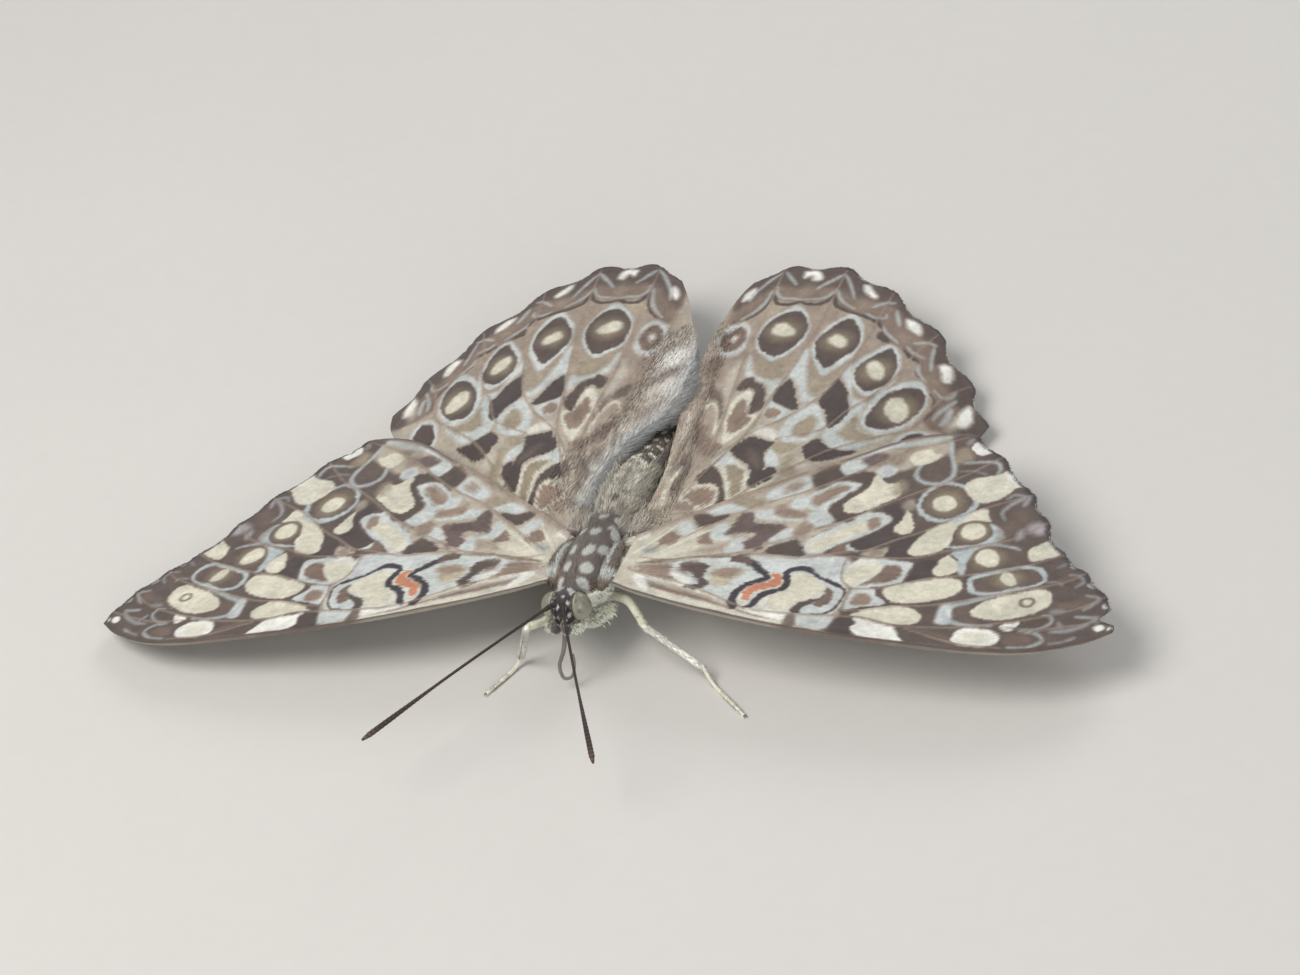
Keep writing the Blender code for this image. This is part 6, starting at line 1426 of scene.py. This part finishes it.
for s, label in ((+1, "left"), (-1, "right")):
    x = -0.2
    furred("palp_" + label, [(x + s * 0.36, -8.05, 4.20), (x + s * 0.40, -8.40, 4.20), (x + s * 0.42, -8.72, 4.52), (x + s * 0.36, -8.80, 5.02)],
           [0.20, 0.20, 0.17, 0.08], (128, 122, 116), 1500, 0.26, 0.04, SKIN, "palp_" + label, shade=palp_shade)
    furred("foreleg_" + label, [(x + s * 1.20, -4.75, 2.42), (x + s * 1.05, -5.60, 2.80), (x + s * 0.72, -6.35, 3.25)],
           [0.20, 0.22, 0.18, 0.12], (244, 242, 218), 2200, 0.40, 0.07, LEGS, "foreleg_" + label, stand=0.9)


# --------------------------------------------------------------------- legs
def leg(name, hip, bend, knee, ankle, toe, root):
    hip, bend, knee, ankle, toe, root = (np.array(p, float) for p in (hip, bend, knee, ankle, toe, root))
    shin = knee + (ankle - knee) * 0.5
    parts = []
    ink_f, ink_t = (220, 219, 198), (238, 237, 224)
    # thigh, from inside the breast to the knee
    p = smooth_path([root, hip, bend, knee], 50)
    t = np.linspace(0, 1, 50)
    parts.append((*sweep(p, np.interp(t, [0, 0.35, 0.8, 0.95, 1], [0.34, 0.34, 0.25, 0.28, 0.18]), 16), ink_f))
    # shin, a little thicker toward its end
    q = smooth_path([knee, shin, ankle], 50)
    parts.append((*sweep(q, np.interp(t, [0, 0.06, 0.3, 0.85, 1], [0.16, 0.22, 0.21, 0.25, 0.17]), 16), ink_t))
    # the foot: five joints along the floor
    heel = ankle + (toe - ankle) * 0.22
    heel[2] = 0.20
    mid = ankle + (toe - ankle) * 0.62
    mid[2] = 0.165
    end = toe.copy()
    end[2] = 0.15
    g = smooth_path([ankle, heel, mid, end], 120)
    u = np.linspace(0, 1, 120)
    joint = np.array([0, 0.42, 0.60, 0.74, 0.86, 1.0])
    k = np.clip(np.searchsorted(joint, u) - 1, 0, 4)
    f = (u - joint[k]) / (joint[k + 1] - joint[k])
    r = np.interp(u, [0, 0.4, 1], [0.17, 0.145, 0.115]) * (0.82 + 0.26 * f ** 2)
    v, fa = sweep(g, r, 12)
    v[:, 2] = np.maximum(v[:, 2], 0.0)
    parts.append((v, fa, (226, 222, 204)))
    # two claws
    d = unit(end - mid)
    sd = np.cross(d, (0, 0, 1.0))
    for s in (+1, -1):
        c = smooth_path([end, end + d * 0.14 + sd * s * 0.07 + (0, 0, 0.05), end + d * 0.24 + sd * s * 0.10 - (0, 0, 0.10)], 12)
        v, fa = sweep(c, np.linspace(0.05, 0.012, 12), 8)
        v[:, 2] = np.maximum(v[:, 2], 0.0)
        parts.append((v, fa, (90, 74, 60)))
    V, Fs, C = join(parts)
    make(name + "_limb", V, Fs, LEGS, C, replaces=(name,))
    # flat scales along the limb and a double row of spines under the shin and foot
    roots, leans, norms, lens, wids, cols = [], [], [], [], [], []
    for path, rad, n, ln, ink in ((p, 0.26, 700, 0.26, ink_f), (q, 0.22, 900, 0.28, ink_t), (g[:110], 0.12, 400, 0.16, (226, 222, 204))):
        if QUICK:
            n //= 3
        i = rng.integers(0, len(path) - 1, n)
        T = unit(np.gradient(path, axis=0))[i]
        N = rng.normal(size=(n, 3))
        N = unit(N - T * (N * T).sum(1, keepdims=True))
        R = path[i] + N * rad * 0.92
        ok = R[:, 2] > 0.06
        roots.append(R[ok])
        leans.append((T + N * 0.35 + 0.12 * rng.normal(size=N.shape))[ok])
        norms.append(N[ok])
        lens.append(np.full(ok.sum(), ln) * rng.uniform(0.7, 1.2, ok.sum()))
        wids.append(np.full(ok.sum(), 0.07))
        cols.append(np.array(ink, float) * rng.uniform(0.86, 1.1, (ok.sum(), 1)))
    for path, rad, n, ln in ((q, 0.2, 46, 0.42), (g[20:100], 0.12, 40, 0.26)):
        i = np.linspace(2, len(path) - 3, n).astype(int)
        T = unit(np.gradient(path, axis=0))[i]
        S = unit(np.cross(T, (0, 0, 1.0)))
        for s in (+1, -1):
            N = unit(S * s - np.array((0, 0, 0.55)))
            roots.append(path[i] + N * rad * 0.8)
            leans.append(T * 0.9 + N * 0.8)
            norms.append(N)
            lens.append(np.full(n, ln))
            wids.append(np.full(n, 0.035))
            cols.append(np.tile(np.array((120, 102, 82.0)), (n, 1)))
    R, L, N, ln, w, c = np.vstack(roots), np.vstack(leans), np.vstack(norms), np.concatenate(lens), np.concatenate(wids), np.vstack(cols)
    tips = R + unit(L) * ln[:, None]
    ok = tips[:, 2] > 0.02
    R, L, N, ln, w, c = R[ok], L[ok], N[ok], ln[ok], w[ok], c[ok]
    uv = np.clip(np.stack([(np.arctan2(N[:, 2], N[:, 0]) + np.pi) / (2 * np.pi), np.linspace(0.01, 0.99, len(R))], -1), 0.01, 0.99)
    # bristle roots a little darker as painted shade, tips lighter as a painted highlight
    a, b, c, u = spikes(R, L, N, ln, w, c, uv, root_shade=0.9, jointed=False)
    make(name + "_bristles", a, b, LEGS, c, u)


leg("midleg_left", (2.95, -3.95, 3.30), (4.15, -5.45, 3.40), (5.15, -6.75, 3.35), (9.35, -8.05, 0.95), (13.34, -11.83, 0.20), (1.3, -2.9, 3.0))
leg("midleg_right", (-2.72, -3.70, 2.60), (-2.35, -6.10, 3.30), (-3.20, -7.90, 3.90), (-4.70, -7.25, 0.62), (-6.17, -10.68, 0.20), (-1.4, -2.6, 2.8))
leg("hindleg_left", (2.45, 0.60, 2.45), (3.6, 2.5, 3.05), (4.8, 4.3, 3.35), (7.4, 9.3, 0.85), (9.1, 14.6, 0.20), (1.0, 0.0, 2.7))
leg("hindleg_right", (-2.35, 0.60, 2.45), (-3.5, 2.6, 3.05), (-4.5, 4.6, 3.35), (-6.7, 9.8, 0.85), (-7.9, 15.2, 0.20), (-1.0, 0.0, 2.7))


# ------------------------------------------------------- floor, light, camera
def area(name, where, size, power, colour, aim=(0, 0, 0.004)):
    d = bpy.data.lights.new(name, "AREA")
    d.shape = "DISK"
    d.size = size
    d.energy = power
    d.color = colour
    ob = bpy.data.objects.new(name, d)
    bpy.context.scene.collection.objects.link(ob)
    z = np.array(where, float) - np.array(aim, float)
    z = z / np.linalg.norm(z)
    x = np.cross((0, 0, 1.0), z)
    x = x / np.linalg.norm(x) if np.linalg.norm(x) > 1e-6 else np.array((1.0, 0, 0))
    y = np.cross(z, x)
    m = np.eye(4)
    m[:3, 0], m[:3, 1], m[:3, 2], m[:3, 3] = x, y, z, where
    ob.matrix_world = Matrix(m.tolist())
    return ob


bpy.ops.mesh.primitive_plane_add(size=1.6, location=(0, 0, 0))
floor = bpy.context.object
floor.name = "floor"
FLOOR = finish("floor_matt", (0.75, 0.9), 600.0, 0.05, 0.015, 40.0, base=(206, 203, 198))
floor.data.materials.append(FLOOR)

area("key", (-0.14, -0.12, 0.30), 0.26, 0.90, (1.0, 0.98, 0.95))
area("fill", (0.20, -0.30, 0.12), 0.26, 0.62, (0.97, 0.98, 1.0))
area("rim", (0.05, 0.30, 0.22), 0.20, 0.36, (1.0, 1.0, 1.0))
world = bpy.data.worlds.new("studio")
bpy.context.scene.world = world
world.use_nodes = True
world.node_tree.nodes["Background"].inputs["Color"].default_value = (0.93, 0.96, 1.0, 1)
world.node_tree.nodes["Background"].inputs["Strength"].default_value = 0.36

cam = bpy.data.objects.new("camera", bpy.data.cameras.new("camera"))
bpy.context.scene.collection.objects.link(cam)
cam.data.lens = 119.129
cam.data.sensor_width = 36.0
cam.data.sensor_fit = "HORIZONTAL"
cam.data.clip_start = 0.01
cam.data.clip_end = 10.0
right = (0.92522048, 0.30946147, -0.21954649)
upv = (-0.0188684, 0.61543135, 0.78796461)
ahead = (-0.37896048, 0.72489851, -0.57524873)
c = place((117.42071, -215.22004, 181.04632))
cam.matrix_world = Matrix([(right[k], upv[k], -ahead[k], c[k]) for k in range(3)] + [(0, 0, 0, 1)])
scene = bpy.context.scene
scene.camera = cam
scene.render.resolution_x, scene.render.resolution_y = 1024, 768
scene.view_settings.view_transform = "Standard"
scene.view_settings.look = "None"
scene.view_settings.exposure = 0.0
scene.view_settings.gamma = 1.0
bpy.context.view_layer.update()
